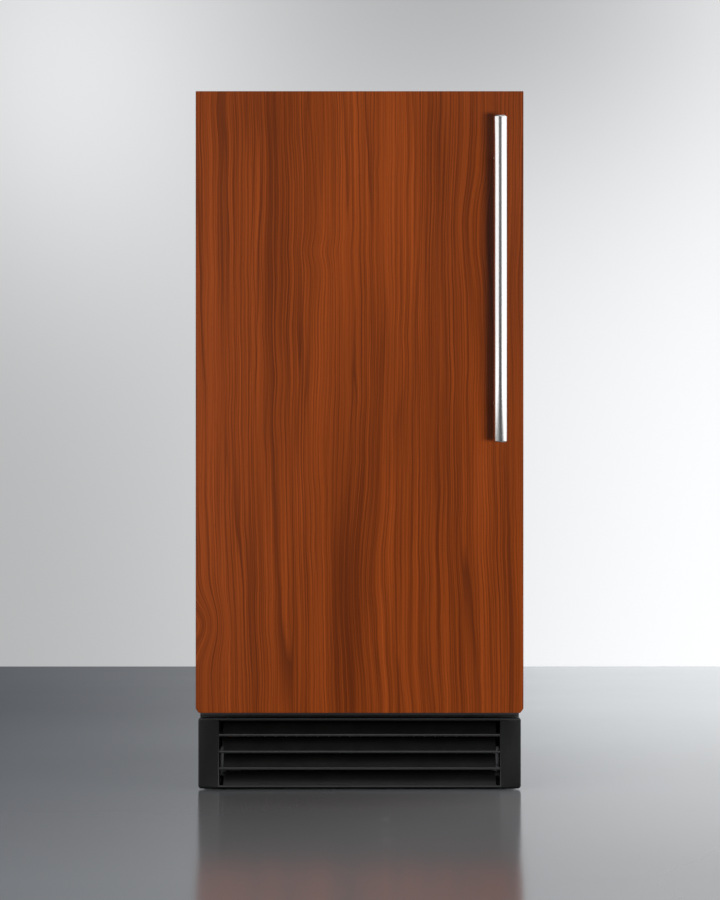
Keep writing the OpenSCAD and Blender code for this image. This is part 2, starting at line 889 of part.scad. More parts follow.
// Five-bladed axial fan
module fan_blade() {
  color(dark_plastic) difference() {
    union() {
      rod_y(fan_x, fan_z, fan_y - 11, fan_y + 9, hub_r);
      intersection() {
        rod_y(fan_x, fan_z, fan_y - 11, fan_y + 9, fan_r);
        for (turn = [0 : 72 : 288])
          translate([fan_x, fan_y - 1, fan_z]) rotate([0, turn, 0]) rotate([32, 0, 0])
            translate([14, -1, -17]) cube([64, 2, 34]);
      }
    }
    rod_y(fan_x, fan_z, fan_y - 12, fan_y + 10, shaft_r + pin_clear);
  }
}

// Drier with stepped ends
module filter_drier() {
  color(copper) {
    rod_y(liquid_x, low_row_z, drier_y[1], drier_y[2], 11);
    rod_y(liquid_x, low_row_z, drier_y[0], drier_y[1], 6);
    rod_y(liquid_x, low_row_z, drier_y[2], drier_y[3], 6);
  }
}

// Solenoid valve that sends hot gas to the evaporator at harvest
module hot_gas_valve() {
  color(zinc) {
    rod_x(tee_y, hot_gas_z, valve_x[0], valve_x[1], 8);
    box([valve_x[0] + 2, tee_y - 13, hot_gas_z + 6], [valve_x[1] - 2, tee_y + 13, hot_gas_z + 36]);
  }
}

// Discharge, hot gas, liquid and suction lines with their tees
module refrigerant_lines() {
  color(copper) {
    pipe(discharge_path, line_r, bend_r);
    tee([discharge_x, tee_y, stub_z], tee_half);
    pipe(hot_gas_in_path, line_r, bend_r);
    pipe(hot_gas_path, line_r, bend_r);
    pipe(liquid_in_path, line_r, bend_r);
    pipe(liquid_path, line_r, bend_r);
    tee([hot_gas_x, riser_y, tee_z], tee_half);
    pipe(suction_path, line_r, bend_r);
  }
}

// Upright ice-making plate with a grid of open cells
module evaporator_plate() {
  color(zinc) difference() {
    box([evap_x0, evap_y - cell_depth, evap_low_z], [evap_x1, evap_y + evap_t, evap_low_z + evap_h]);
    for (i = [0 : cells_across - 1])
      for (j = [0 : cells_down - 1])
        box([evap_x0 + i * cell + 0.8, evap_y - cell_depth - 1, evap_low_z + j * cell + 0.8],
            [evap_x0 + (i + 1) * cell - 0.8, evap_y, evap_low_z + (j + 1) * cell - 0.8]);
  }
}

// Copper serpentine on the back of the plate, its ends turned towards the rear
module evaporator_coil() {
  color(copper) {
    for (row = [0 : coil_rows - 1])
      rod_x(coil_y, coil_low_z + row * coil_pitch, coil_x[0], coil_x[1], coil_r);
    for (row = [0 : coil_rows - 2])
      u_bend(coil_x[row % 2], coil_y, coil_low_z + (row + 0.5) * coil_pitch,
             row % 2 ? 1 : -1, coil_pitch, coil_r);
    rod_x(coil_y, coil_low_z, coil_x[1], feed_x - bend_r, coil_r);
    bend([feed_x, coil_y, coil_low_z], [1, 0, 0], [0, 1, 0], coil_r, bend_r);
    rod_y(feed_x, coil_low_z, coil_y + bend_r, coil_rear_y, coil_r);
    rod_x(coil_y, coil_top_z, suction_x + bend_r, coil_x[0], coil_r);
    bend([suction_x, coil_y, coil_top_z], [-1, 0, 0], [0, 1, 0], coil_r, bend_r);
    rod_y(suction_x, coil_top_z, coil_y + bend_r, coil_rear_y, coil_r);
  }
}

// Two cheeks and a cross bar that carry the plate, curtain and spray tube from the bin's back wall
module evaporator_frame() {
  color(white_plastic) {
    for (x = [evap_x0 - cheek_t, cheek_x1])
      difference() {
        translate([x, 0, 0]) rotate([90, 0, 90]) linear_extrude(height = cheek_t)
          polygon([
            [cheek_front_y, rim_z], [cheek_front_y + 60, rim_z], [cheek_front_y + 60, 600],
            [bin_rear_y, 660], [bin_rear_y, 730], [cheek_front_y, 730]
          ]);
        rod_x(curtain_y, curtain_z, x - 1, x + cheek_t + 1, curtain_pin_r + pin_clear);
        rod_x(spray_y, spray_z, x < 0 ? x + 4 : x - 1, x + cheek_t + 1, spray_r);
      }
    box([evap_x0, 172, 716], [cheek_x1, 180, 728]);
  }
}

// Spray tube with a row of outlets over the cells
module water_distributor() {
  color(white_plastic) difference() {
    rod_x(spray_y, spray_z, evap_x0 - 4, 96, spray_r);
    rod_x(spray_y, spray_z, evap_x0, 97, spray_r - 2);
    for (i = [0 : cells_across - 1])
      translate([evap_x0 + (i + 0.5) * cell, spray_y, spray_z - spray_r - 1]) cylinder(r = 1.5, h = 6);
  }
}

// Curtain that hangs in front of the cells and swings forward as the ice drops
module water_curtain() {
  color([0.85, 0.90, 0.95, 0.6]) {
    box([evap_x0 + 1, curtain_y - 1, 500], [cheek_x1 - 1, curtain_y + 1, curtain_z]);
    rod_x(curtain_y, curtain_z, evap_x0 + 1, cheek_x1 - 1, 4);
    rod_x(curtain_y, curtain_z, evap_x0 - cheek_t + 1, cheek_x1 + cheek_t - 1, curtain_pin_r);
  }
}

// Water trough under the plate, with lugs to the back wall and the post of the float
module water_sump() {
  color(white_plastic) {
    difference() {
      box([-sump_half_w, sump_front_y, sump_low_z], [sump_half_w, sump_rear_y, rim_z]);
      box([-sump_half_w + wall, sump_front_y + wall, sump_low_z + wall],
          [sump_half_w - wall, sump_rear_y - wall, rim_z + 1]);
    }
    for (x = [-60, 0])
      box([x, sump_rear_y, rim_z - 14], [x + 20, bin_rear_y, rim_z]);
    translate([float_x, float_y, sump_low_z + 1]) cylinder(r = float_post_r, h = 59);
    translate([float_x, float_y, sump_low_z + 1]) cylinder(r = 4, h = 6.7);
    translate([float_x, float_y, sump_low_z + 58]) cylinder(r = 4, h = 2);
  }
}

// Circulation pump: motor, column, housing, outlet stub and wall bracket
module water_pump() {
  color(dark_plastic) {
    translate([pump_x, pump_y, 446]) cylinder(r = 16.5, h = 18);
    translate([pump_x, pump_y, 464]) cylinder(r = 6, h = 40);
    translate([pump_x, pump_y, 504]) cylinder(r = 17, h = 52);
    rod_y(pump_x, 456, 151, 160, 5);
    box([pump_x, pump_y - 8, 504], [bin_half_w, pump_y + 8, 508]);
  }
}

module pump_hose() {
  color(white_plastic) pipe(pump_path, 4.5, 7);
}

// Ring float that slides on its post
module float() {
  color(white_plastic) translate([float_x, float_y, sump_low_z + 8]) difference() {
    cylinder(r = 9, h = float_h);
    translate([0, 0, -1]) cylinder(r = float_post_r + pin_clear, h = float_h + 2);
  }
}

// Solenoid water valve with its threaded connection through the rear cover
module inlet_valve() {
  color(white_plastic) {
    box([inlet_x - valve_half, valve_y[0], inlet_z - valve_half],
        [inlet_x + valve_half, valve_y[1], inlet_z + valve_half]);
    rod_y(inlet_x, inlet_z, valve_y[0] - 30, valve_y[0], 12);
    difference() {
      union() {
        rod_y(inlet_x, inlet_z, valve_y[1], rear_y, thread_r + 2);
        rod_y(inlet_x, inlet_z, rear_y, connection_y, thread_r);
      }
      rod_y(inlet_x, inlet_z, valve_y[1] + 2, connection_y + 1, 8);
    }
  }
}

module inlet_tube() {
  color(white_plastic) pipe(inlet_path, line_r, 10);
}

// Bin drain: strainer collar, hose and the spigot through the rear cover
module drain_hose() {
  color(dark_plastic) {
    pipe(drain_path, hose_r, 16);
    difference() {
      union() {
        rod_y(drain_x, drain_z, 290, rear_y, spigot_r + 2);
        rod_y(drain_x, drain_z, rear_y, connection_y, spigot_r);
      }
      rod_y(drain_x, drain_z, 292, connection_y + 1, 6);
    }
  }
}

// Control housing on the bin's ceiling, open at the back
module control_fascia() {
  color(dark_plastic) difference() {
    box([-fascia_half_w, fascia_front_y, fascia_low_z], [fascia_half_w, fascia_rear_y, bin_top_z]);
    box([-fascia_half_w + fascia_wall, fascia_front_y + fascia_wall, fascia_low_z + fascia_wall],
        [fascia_half_w - fascia_wall, fascia_rear_y + 1, bin_top_z + 1]);
    box([display_x[0], fascia_front_y - 1, display_z[0]],
        [display_x[1], fascia_front_y + fascia_wall + 1, display_z[1]]);
    for (x = button_x)
      rod_y(x, button_z, fascia_front_y - 1, fascia_front_y + fascia_wall + 1, button_r + 0.35);
  }
}

module display_window() {
  color([0.05, 0.06, 0.08, 0.7])
    box([display_x[0], fascia_front_y, display_z[0]], [display_x[1], fascia_front_y + 2, display_z[1]]);
}

// Push button with a retaining flange behind the fascia
module push_button(x) {
  color(zinc) {
    rod_y(x, button_z, fascia_front_y - 1.6, button_flange_y, button_r);
    rod_y(x, button_z, button_flange_y, button_flange_y + 1.5, button_r + 1.4);
  }
}

module button_power() {
  push_button(button_x[0]);
}

module button_clean() {
  push_button(button_x[1]);
}

// Half-round scoop with a closed back and a round grip
module ice_scoop() {
  color(white_plastic) {
    difference() {
      rod_y(scoop_x, scoop_z, scoop_front_y, scoop_rear_y, scoop_r);
      rod_y(scoop_x, scoop_z, scoop_front_y - 1, scoop_rear_y - scoop_wall - 1, scoop_r - scoop_wall);
      box([scoop_x - 40, scoop_front_y - 2, scoop_z], [scoop_x + 40, scoop_rear_y + 2, scoop_z + 40]);
    }
    rod_y(scoop_x, scoop_z - 12, scoop_rear_y, scoop_rear_y + grip_len, grip_r);
  }
}

// Wall plate with two shaped arms under the scoop
module scoop_holder() {
  color(white_plastic) {
    box([bin_half_w - holder_t, holder_y[0], holder_z[0]], [bin_half_w, holder_y[1], holder_z[1]]);
    for (y = arm_y)
      difference() {
        box([arm_x, y, arm_z[0]], [bin_half_w - holder_t, y + arm_w, arm_z[1]]);
        rod_y(scoop_x, scoop_z, y - 1, y + arm_w + 1, scoop_r + 0.35);
      }
  }
}

// Flanged bush where the supply cord leaves the cabinet
module cord_gland() {
  color(rubber_black) difference() {
    union() {
      rod_y(gland_x, gland_z, rear_y - 12, rear_y, 9);
      rod_y(gland_x, gland_z, rear_y, rear_y + 3, 13);
    }
    rod_y(gland_x, gland_z, rear_y - 13, rear_y + 4, cord_r);
  }
}

left_side_panel();
right_side_panel();
top_panel();
rear_panel();
rear_service_cover();
base_pan();
bin_deck();
insulation();
inner_liner();
front_face_frame();
lower_front_panel();
kick_grille();
grille_clips();
foot_sockets();
hinge_brackets();
hinge_screws();
door_panel();
door_outer_pan();
door_end_caps();
door_foam();
door_inner_liner();
door_gasket();
handle_bar();
handle_posts();
handle_screws();
panel_screws();
foot_front_left();
foot_front_right();
foot_rear_left();
foot_rear_right();
compressor();
compressor_grommets();
terminal_box();
condenser_coil();
condenser_fins();
fan_shroud();
fan_motor();
fan_blade();
filter_drier();
hot_gas_valve();
refrigerant_lines();
evaporator_plate();
evaporator_coil();
evaporator_frame();
water_distributor();
water_curtain();
water_sump();
water_pump();
pump_hose();
float();
inlet_valve();
inlet_tube();
drain_hose();
control_fascia();
display_window();
button_power();
button_clean();
ice_scoop();
scoop_holder();
cord_gland();
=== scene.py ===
"""Looks of the under-counter ice maker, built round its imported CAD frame. Units are metres."""

import json
import math

import bmesh
import bpy
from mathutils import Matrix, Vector


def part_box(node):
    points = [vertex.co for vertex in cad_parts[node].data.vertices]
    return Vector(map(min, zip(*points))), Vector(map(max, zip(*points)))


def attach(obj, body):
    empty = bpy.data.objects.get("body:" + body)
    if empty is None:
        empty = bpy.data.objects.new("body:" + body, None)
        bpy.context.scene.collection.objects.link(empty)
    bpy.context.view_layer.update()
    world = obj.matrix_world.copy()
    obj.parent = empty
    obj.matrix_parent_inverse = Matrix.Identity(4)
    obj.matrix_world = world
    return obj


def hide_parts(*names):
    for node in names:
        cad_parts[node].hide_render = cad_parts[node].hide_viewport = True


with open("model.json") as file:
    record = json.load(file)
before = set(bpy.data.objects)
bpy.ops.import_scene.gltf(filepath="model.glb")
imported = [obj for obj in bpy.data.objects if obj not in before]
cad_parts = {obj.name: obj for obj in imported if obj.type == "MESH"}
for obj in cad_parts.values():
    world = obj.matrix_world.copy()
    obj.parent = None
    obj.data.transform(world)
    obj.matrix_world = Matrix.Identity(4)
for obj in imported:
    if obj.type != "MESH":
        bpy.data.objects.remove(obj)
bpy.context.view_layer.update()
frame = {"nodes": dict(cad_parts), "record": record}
record = frame["record"]
MM = 0.001


# ---------------------------------------------------------------- shader nodes


def add(tree, kind, links=None, **settings):
    """A new node with its settings made and its sockets linked or filled."""
    made = tree.nodes.new(kind)
    for name, value in settings.items():
        setattr(made, name, value)
    for socket, value in (links or {}).items():
        if isinstance(value, bpy.types.NodeSocket):
            tree.links.new(value, made.inputs[socket])
        else:
            made.inputs[socket].default_value = value
    return made


def calc(tree, operation, *values, clamp=False):
    """The result of one Math node."""
    return add(
        tree,
        "ShaderNodeMath",
        dict(enumerate(values)),
        operation=operation,
        use_clamp=clamp,
    ).outputs[0]


def ramp(tree, factor, *stops, smooth=False):
    """A colour or grey ramp: stops are (place, grey) or (place, (r, g, b))."""
    made = add(tree, "ShaderNodeValToRGB", {"Fac": factor})
    made.color_ramp.interpolation = "EASE" if smooth else "LINEAR"
    elements = made.color_ramp.elements
    while len(elements) < len(stops):
        elements.new(0.5)
    for element, (place, tone) in zip(elements, stops):
        element.position = place
        element.color = (*(tone if isinstance(tone, tuple) else (tone,) * 3), 1)
    return made.outputs["Color"]


def blend_colours(tree, factor, under, over, mode="MIX"):
    """over laid on under by factor."""
    made = add(tree, "ShaderNodeMix", data_type="RGBA", blend_type=mode)
    for place, value in ((0, factor), (6, under), (7, over)):
        if isinstance(value, bpy.types.NodeSocket):
            tree.links.new(value, made.inputs[place])
        elif place:
            made.inputs[place].default_value = (*value, 1)
        else:
            made.inputs[place].default_value = value
    return made.outputs[2]


def noise(tree, vector, scale=1.0, detail=2.0, roughness=0.5):
    """Soft noise, 0 to 1."""
    links = {"Vector": vector, "Scale": scale, "Detail": detail, "Roughness": roughness}
    return add(tree, "ShaderNodeTexNoise", links).outputs["Fac"]


def new_group(name, inputs, outputs):
    """An empty shader node group with named sockets: its tree, inputs and output node."""
    tree = bpy.data.node_groups.new(name, "ShaderNodeTree")
    for label, (kind, default) in inputs.items():
        socket = tree.interface.new_socket(label, in_out="INPUT", socket_type="NodeSocket" + kind)
        if default is not None:
            socket.default_value = default
    for label, kind in outputs.items():
        tree.interface.new_socket(label, in_out="OUTPUT", socket_type="NodeSocket" + kind)
    given = tree.nodes.new("NodeGroupInput").outputs
    result = tree.nodes.new("NodeGroupOutput")
    return tree, given, result


def give(tree, result, **outputs):
    """Links a group's results to its named outputs."""
    for label, socket in outputs.items():
        tree.links.new(socket, result.inputs[label])


def cherry_grain():
    """Straight cherry grain that runs up Z: drifting streaks, growth lines, a knot and pores."""
    tree, given, result = new_group(
        "cherry_grain",
        {"Position": ("Vector", None), "Figure": ("Float", 1.0)},
        {"Color": "Color", "Roughness": "Float", "Height": "Float"},
    )
    place = add(tree, "ShaderNodeSeparateXYZ", {"Vector": given["Position"]}).outputs
    along = place["Z"]
    across = calc(tree, "ADD", place["X"], calc(tree, "MULTIPLY", place["Y"], 0.8))

    def streaks(line, wide, tall, seed, detail=2.0, roughness=0.5):
        """Noise that varies wide times a metre across the grain and tall times along it."""
        vector = add(
            tree,
            "ShaderNodeCombineXYZ",
            {
                0: calc(tree, "MULTIPLY", line, wide),
                1: seed,
                2: calc(tree, "MULTIPLY", along, tall),
            },
        ).outputs[0]
        return noise(tree, vector, 1.0, detail, roughness)

    def swing(value, amount):
        """A value of 0 to 1 turned into a swing about nought."""
        return calc(tree, "MULTIPLY", calc(tree, "SUBTRACT", value, 0.5), amount)

    def bump_at(x, z, wide, tall):
        """A smooth hill centred at x, z."""
        dx = calc(tree, "DIVIDE", calc(tree, "SUBTRACT", across, x), wide)
        dz = calc(tree, "DIVIDE", calc(tree, "SUBTRACT", along, z), tall)
        square = calc(tree, "ADD", calc(tree, "POWER", dx, 2.0), calc(tree, "POWER", dz, 2.0))
        return calc(tree, "EXPONENT", calc(tree, "MULTIPLY", square, -1.0))

    line = calc(tree, "ADD", across, swing(streaks(across, 3.0, 1.3, 1.3), 0.040))
    line = calc(tree, "ADD", line, swing(streaks(across, 14.0, 5.0, 4.1), 0.006))
    line = calc(tree, "ADD", line, swing(streaks(across, 26.0, 16.0, 6.7, 1.0), 0.0045))
    # Lines bend round the knot at the lower left, and jog sideways above the middle
    for x, z, wide, tall, push in (
        (-0.392, 0.192, 0.020, 0.030, -0.016),
        (-0.258, 0.623, 0.030, 0.014, 0.0032),
        (-0.090, 0.660, 0.030, 0.060, 0.007),
        (-0.205, 0.250, 0.045, 0.120, 0.008),
    ):
        hill = bump_at(x, z, wide, tall)
        line = calc(tree, "ADD", line, calc(tree, "MULTIPLY", hill, push))
    broad = streaks(line, 17.0, 0.9, 9.0, 2.0)
    medium = streaks(line, 120.0, 0.9, 21.0, 3.0, 0.6)
    fibres = streaks(line, 620.0, 2.4, 33.0, 3.0, 0.7)
    pores = ramp(tree, streaks(line, 1500.0, 70.0, 57.0, 1.0), (0.62, 0.0), (0.72, 1.0))
    rings = calc(tree, "FRACT", calc(tree, "MULTIPLY", streaks(line, 34.0, 0.35, 47.0, 1.0), 13.0))
    rings = ramp(tree, rings, (0.0, 0.0), (0.70, 0.04), (0.93, 1.0), (1.0, 0.0))
    fade = ramp(tree, streaks(across, 22.0, 3.0, 71.0), (0.36, 0.0), (0.62, 1.0), smooth=True)
    rings = calc(tree, "MULTIPLY", rings, calc(tree, "ADD", 0.30, calc(tree, "MULTIPLY", fade, 0.70)))
    crossing = calc(tree, "ABSOLUTE", swing(streaks(line, 150.0, 0.8, 83.0, 1.0), 1.0))
    seams = ramp(tree, crossing, (0.0, 1.0), (0.022, 0.0))
    rings = calc(tree, "MAXIMUM", rings, calc(tree, "MULTIPLY", seams, 0.65))

    tone = calc(tree, "ADD", 0.5, swing(broad, 0.9))
    for value, amount in ((medium, 0.65), (fibres, 2.0)):
        tone = calc(tree, "ADD", tone, swing(value, amount))
    # Darker heartwood bands and one paler patch: across, along, half width, half length, depth
    for x, z, wide, tall, depth in (
        (-0.304, 0.650, 0.016, 0.260, 0.30),
        (-0.225, 0.240, 0.018, 0.180, 0.26),
        (-0.125, 0.740, 0.020, 0.110, 0.20),
        (-0.340, 0.790, 0.040, 0.060, 0.16),
        (-0.055, 0.230, 0.014, 0.130, 0.16),
        (-0.170, 0.640, 0.045, 0.140, -0.10),
    ):
        tone = calc(tree, "SUBTRACT", tone, calc(tree, "MULTIPLY", bump_at(x, z, wide, tall), depth))
    spread = calc(tree, "MULTIPLY", calc(tree, "SUBTRACT", tone, 0.5), given["Figure"])
    tone = calc(tree, "ADD", 0.5, spread)
    colour = ramp(
        tree,
        tone,
        (0.0, (0.084, 0.0146, 0.0016)),
        (0.35, (0.140, 0.0256, 0.0027)),
        (0.62, (0.182, 0.0338, 0.0040)),
        (1.0, (0.246, 0.0472, 0.0064)),
    )
    lines = calc(tree, "MULTIPLY", rings, calc(tree, "MULTIPLY", given["Figure"], 0.62), clamp=True)
    colour = blend_colours(tree, lines, colour, (0.064, 0.0112, 0.0013))
    colour = blend_colours(tree, calc(tree, "MULTIPLY", pores, 0.30), colour, (0.080, 0.0130, 0.0035))
    rough = calc(tree, "ADD", 0.40, calc(tree, "MULTIPLY", rings, 0.08))
    sunk = calc(tree, "MULTIPLY", pores, -0.6)
    height = calc(tree, "ADD", calc(tree, "MULTIPLY", rings, -0.35), sunk)
    height = calc(tree, "ADD", height, swing(fibres, 0.5))
    give(tree, result, Color=colour, Roughness=rough, Height=height)
    return tree


def brushed_grain():
    """Fine scratches that run along one axis, set by how Position is stretched."""
    tree, given, result = new_group(
        "brushed_grain",
        {"Position": ("Vector", None), "Stretch": ("Vector", (1.0, 1.0, 1.0))},
        {"Value": "Float", "Height": "Float"},
    )
    stretched = add(
        tree, "ShaderNodeVectorMath", {0: given["Position"], 1: given["Stretch"]}, operation="MULTIPLY"
    ).outputs[0]
    fine = noise(tree, stretched, 1.0, 3.0, 0.6)
    coarse = noise(tree, stretched, 0.18, 2.0, 0.5)
    value = calc(tree, "ADD", calc(tree, "MULTIPLY", fine, 0.8), calc(tree, "MULTIPLY", coarse, 0.2))
    give(tree, result, Value=value, Height=fine)
    return tree


def surface_life():
    """Slow unevenness of a maker's finish, with a fine moulded or painted texture."""
    tree, given, result = new_group(
        "surface_life",
        {
            "Position": ("Vector", None),
            "Patch": ("Float", 9.0),
            "Grain": ("Float", 900.0),
            "Speck": ("Float", 2600.0),
        },
        {"Tone": "Float", "Haze": "Float", "Height": "Float"},
    )
    tone = noise(tree, given["Position"], given["Patch"], 4.0, 0.55)
    haze = noise(tree, given["Position"], calc(tree, "MULTIPLY", given["Patch"], 3.1), 3.0, 0.6)
    grain = noise(tree, given["Position"], given["Grain"], 2.0, 0.55)
    speck = noise(tree, given["Position"], given["Speck"], 1.0, 0.5)
    height = calc(tree, "ADD", calc(tree, "MULTIPLY", grain, 0.7), calc(tree, "MULTIPLY", speck, 0.3))
    give(tree, result, Tone=tone, Haze=haze, Height=height)
    return tree


def settled_dust():
    """Mask of light dust on faces that look up."""
    tree, given, result = new_group(
        "settled_dust",
        {"Position": ("Vector", None), "Normal": ("Vector", None), "Amount": ("Float", 0.2)},
        {"Mask": "Float"},
    )
    up = add(tree, "ShaderNodeSeparateXYZ", {"Vector": given["Normal"]}).outputs["Z"]
    patchy = noise(tree, given["Position"], 38.0, 5.0, 0.65)
    mask = calc(tree, "MULTIPLY", calc(tree, "MAXIMUM", up, 0.0), patchy)
    give(tree, result, Mask=calc(tree, "MULTIPLY", mask, given["Amount"], clamp=True))
    return tree


def zinc_spangle():
    """Crystal patches of hot-dip zinc."""
    tree, given, result = new_group(
        "zinc_spangle",
        {"Position": ("Vector", None), "Scale": ("Float", 90.0)},
        {"Tone": "Float"},
    )
    cloud = add(tree, "ShaderNodeTexNoise", {"Vector": given["Position"], "Scale": 60.0})
    push = add(
        tree,
        "ShaderNodeVectorMath",
        {0: cloud.outputs["Color"], "Scale": 0.008},
        operation="SCALE",
    ).outputs[0]
    warped = add(
        tree, "ShaderNodeVectorMath", {0: given["Position"], 1: push}, operation="ADD"
    ).outputs[0]
    cells = add(tree, "ShaderNodeTexVoronoi", {"Vector": warped, "Scale": given["Scale"]})
    tone = add(tree, "ShaderNodeSeparateColor", {"Color": cells.outputs["Color"]}).outputs["Red"]
    give(tree, result, Tone=tone)
    return tree


GROUPS = {
    build.__name__: build()
    for build in (cherry_grain, brushed_grain, surface_life, settled_dust, zinc_spangle)
}


def use(tree, name, **links):
    """An instance of a shared group, its outputs by name."""
    links = {label.replace("_", " "): value for label, value in links.items()}
    made = add(tree, "ShaderNodeGroup", node_tree=GROUPS[name])
    for label, value in links.items():
        if isinstance(value, bpy.types.NodeSocket):
            tree.links.new(value, made.inputs[label])
        else:
            made.inputs[label].default_value = value
    return made.outputs


def new_material(name, **shader):
    """A material with one Principled shader: its tree, the shader and Object coordinates."""
    material = bpy.data.materials.new(name)
    material.use_nodes = True
    tree = material.node_tree
    tree.nodes.clear()
    surface = add(tree, "ShaderNodeBsdfPrincipled", {k.replace("_", " "): v for k, v in shader.items()})
    out = add(tree, "ShaderNodeOutputMaterial")
    tree.links.new(surface.outputs[0], out.inputs["Surface"])
    position = add(tree, "ShaderNodeTexCoord").outputs["Object"]
    return material, tree, surface, position


def set_bump(tree, surface, height, distance, strength=1.0):
    """Fine relief for the shader: height is 0 to 1, distance is its depth."""
    bump = add(
        tree, "ShaderNodeBump", {"Height": height, "Distance": distance, "Strength": strength}
    )
    tree.links.new(bump.outputs["Normal"], surface.inputs["Normal"])


def moulded(
    name, colour, roughness, spread=0.10, patch=9.0, grain=900.0, depth=0.00006, dust=0.0, **shader
):
    """Plastic, paint or rubber: a base colour that drifts, uneven gloss and a fine texture."""
    material, tree, surface, position = new_material(name, **shader)
    life = use(tree, "surface_life", Position=position, Patch=patch, Grain=grain)
    darker = tuple(c * (1 - spread * 1.6) for c in colour)
    lighter = tuple(min(1.0, c * (1 + spread)) for c in colour)
    tint = ramp(tree, life["Tone"], (0.3, darker), (0.7, lighter))
    rough = calc(tree, "ADD", roughness - 0.06, calc(tree, "MULTIPLY", life["Haze"], 0.12))
    if dust:
        normal = add(tree, "ShaderNodeNewGeometry").outputs["Normal"]
        mask = use(tree, "settled_dust", Position=position, Normal=normal, Amount=dust)["Mask"]
        tint = blend_colours(tree, mask, tint, (0.30, 0.29, 0.27))
        rough = calc(tree, "ADD", rough, calc(tree, "MULTIPLY", mask, 0.4), clamp=True)
    tree.links.new(tint, surface.inputs["Base Color"])
    tree.links.new(rough, surface.inputs["Roughness"])
    set_bump(tree, surface, life["Height"], depth)
    return material


def metal(name, colour, roughness, stretch=(60.0, 60.0, 60.0), spread=0.12, depth=0.00001, **shader):
    """Bare or plated metal with brush marks along its least stretched axis."""
    material, tree, surface, position = new_material(name, Metallic=1.0, **shader)
    brush = use(tree, "brushed_grain", Position=position, Stretch=stretch)
    life = use(tree, "surface_life", Position=position, Patch=7.0, Grain=300.0)
    darker = tuple(c * (1 - spread) for c in colour)
    tint = ramp(tree, brush["Value"], (0.35, darker), (0.65, colour))
    tint = blend_colours(tree, calc(tree, "MULTIPLY", life["Tone"], 0.14), tint, darker)
    rough = calc(tree, "ADD", roughness * 0.8, calc(tree, "MULTIPLY", brush["Value"], roughness * 0.4))
    tree.links.new(tint, surface.inputs["Base Color"])
    tree.links.new(rough, surface.inputs["Roughness"])
    set_bump(tree, surface, brush["Height"], depth)
    return material


def timber():
    """Satin cherry veneer, faintly sealed."""
    material, tree, surface, position = new_material(
        "timber_veneer", Coat_Weight=0.03, Coat_Roughness=0.30, Specular_IOR_Level=0.18
    )
    wood = use(tree, "cherry_grain", Position=position, Figure=1.25)
    tree.links.new(wood["Color"], surface.inputs["Base Color"])
    tree.links.new(wood["Roughness"], surface.inputs["Roughness"])
    set_bump(tree, surface, wood["Height"], 0.00005)
    return material


def galvanised():
    """Hot-dip zinc sheet with its crystal pattern."""
    material, tree, surface, position = new_material("galvanised_sheet", Metallic=1.0)
    tone = use(tree, "zinc_spangle", Position=position, Scale=95.0)["Tone"]
    life = use(tree, "surface_life", Position=position, Patch=6.0, Grain=500.0)
    tint = ramp(tree, tone, (0.0, (0.40, 0.41, 0.43)), (1.0, (0.56, 0.57, 0.58)))
    tint = blend_colours(tree, calc(tree, "MULTIPLY", life["Tone"], 0.25), tint, (0.34, 0.34, 0.34))
    tree.links.new(tint, surface.inputs["Base Color"])
    tree.links.new(ramp(tree, tone, (0.0, 0.36), (1.0, 0.50)), surface.inputs["Roughness"])
    set_bump(tree, surface, life["Height"], 0.00004)
    return material


FINISHES = {
    "timber_veneer": timber(),
    "galvanised_sheet": galvanised(),
    "cabinet_sheet": moulded(
        "cabinet_sheet", (0.020, 0.020, 0.021), 0.36, grain=420.0, depth=0.00005, dust=0.12
    ),
    "black_plastic": moulded(
        "black_plastic",
        (0.0046, 0.0046, 0.0049),
        0.30,
        grain=1300.0,
        depth=0.00007,
        dust=0.05,
        Specular_IOR_Level=0.4,
    ),
    "foot_plastic": moulded("foot_plastic", (0.016, 0.016, 0.016), 0.5),
    "white_plastic": moulded(
        "white_plastic", (0.74, 0.755, 0.77), 0.30, spread=0.02, patch=4.0, grain=700.0, depth=0.00003
    ),
    "pale_hose": moulded("pale_hose", (0.66, 0.68, 0.68), 0.28, spread=0.05),
    "curtain_plastic": moulded(
        "curtain_plastic", (0.70, 0.77, 0.82), 0.22, spread=0.04, Transmission_Weight=0.35
    ),
    "rigid_foam": moulded(
        "rigid_foam", (0.70, 0.58, 0.33), 0.85, spread=0.12, patch=30.0, grain=500.0, depth=0.0004
    ),
    "seal_rubber": moulded("seal_rubber", (0.022, 0.022, 0.023), 0.55, grain=1500.0, dust=0.10),
    "display_glass": moulded("display_glass", (0.008, 0.010, 0.014), 0.10, depth=0.000002),
    "black_can": moulded("black_can", (0.018, 0.018, 0.019), 0.30, grain=260.0, dust=0.35),
    "stainless": metal("stainless", (0.74, 0.73, 0.72), 0.20, stretch=(700.0, 700.0, 9.0)),
    "zinc_fastener": metal("zinc_fastener", (0.66, 0.67, 0.68), 0.26, stretch=(500.0, 60.0, 500.0)),
    "copper_tube": metal("copper_tube", (0.78, 0.38, 0.24), 0.30, spread=0.30),
    "fin_aluminium": metal("fin_aluminium", (0.80, 0.81, 0.82), 0.34, stretch=(40.0, 300.0, 20.0)),
    "nickel_plate": metal("nickel_plate", (0.66, 0.64, 0.60), 0.24, spread=0.16),
}
SLOT_OF = {part["node"]: part["material_slot"] for part in record["subparts"]}
BODY_OF = {
    node: body for body, nodes in record["behaviour"]["bodies"].items() for node in nodes
}


# ---------------------------------------------------------------- mesh helpers


def bevel(bm, edges, offset, segments=2):
    """Rounds those edges."""
    bmesh.ops.bevel(
        bm,
        geom=list(edges),
        offset=offset,
        segments=segments,
        profile=0.5,
        affect="EDGES",
        material=-1,
        clamp_overlap=True,
    )


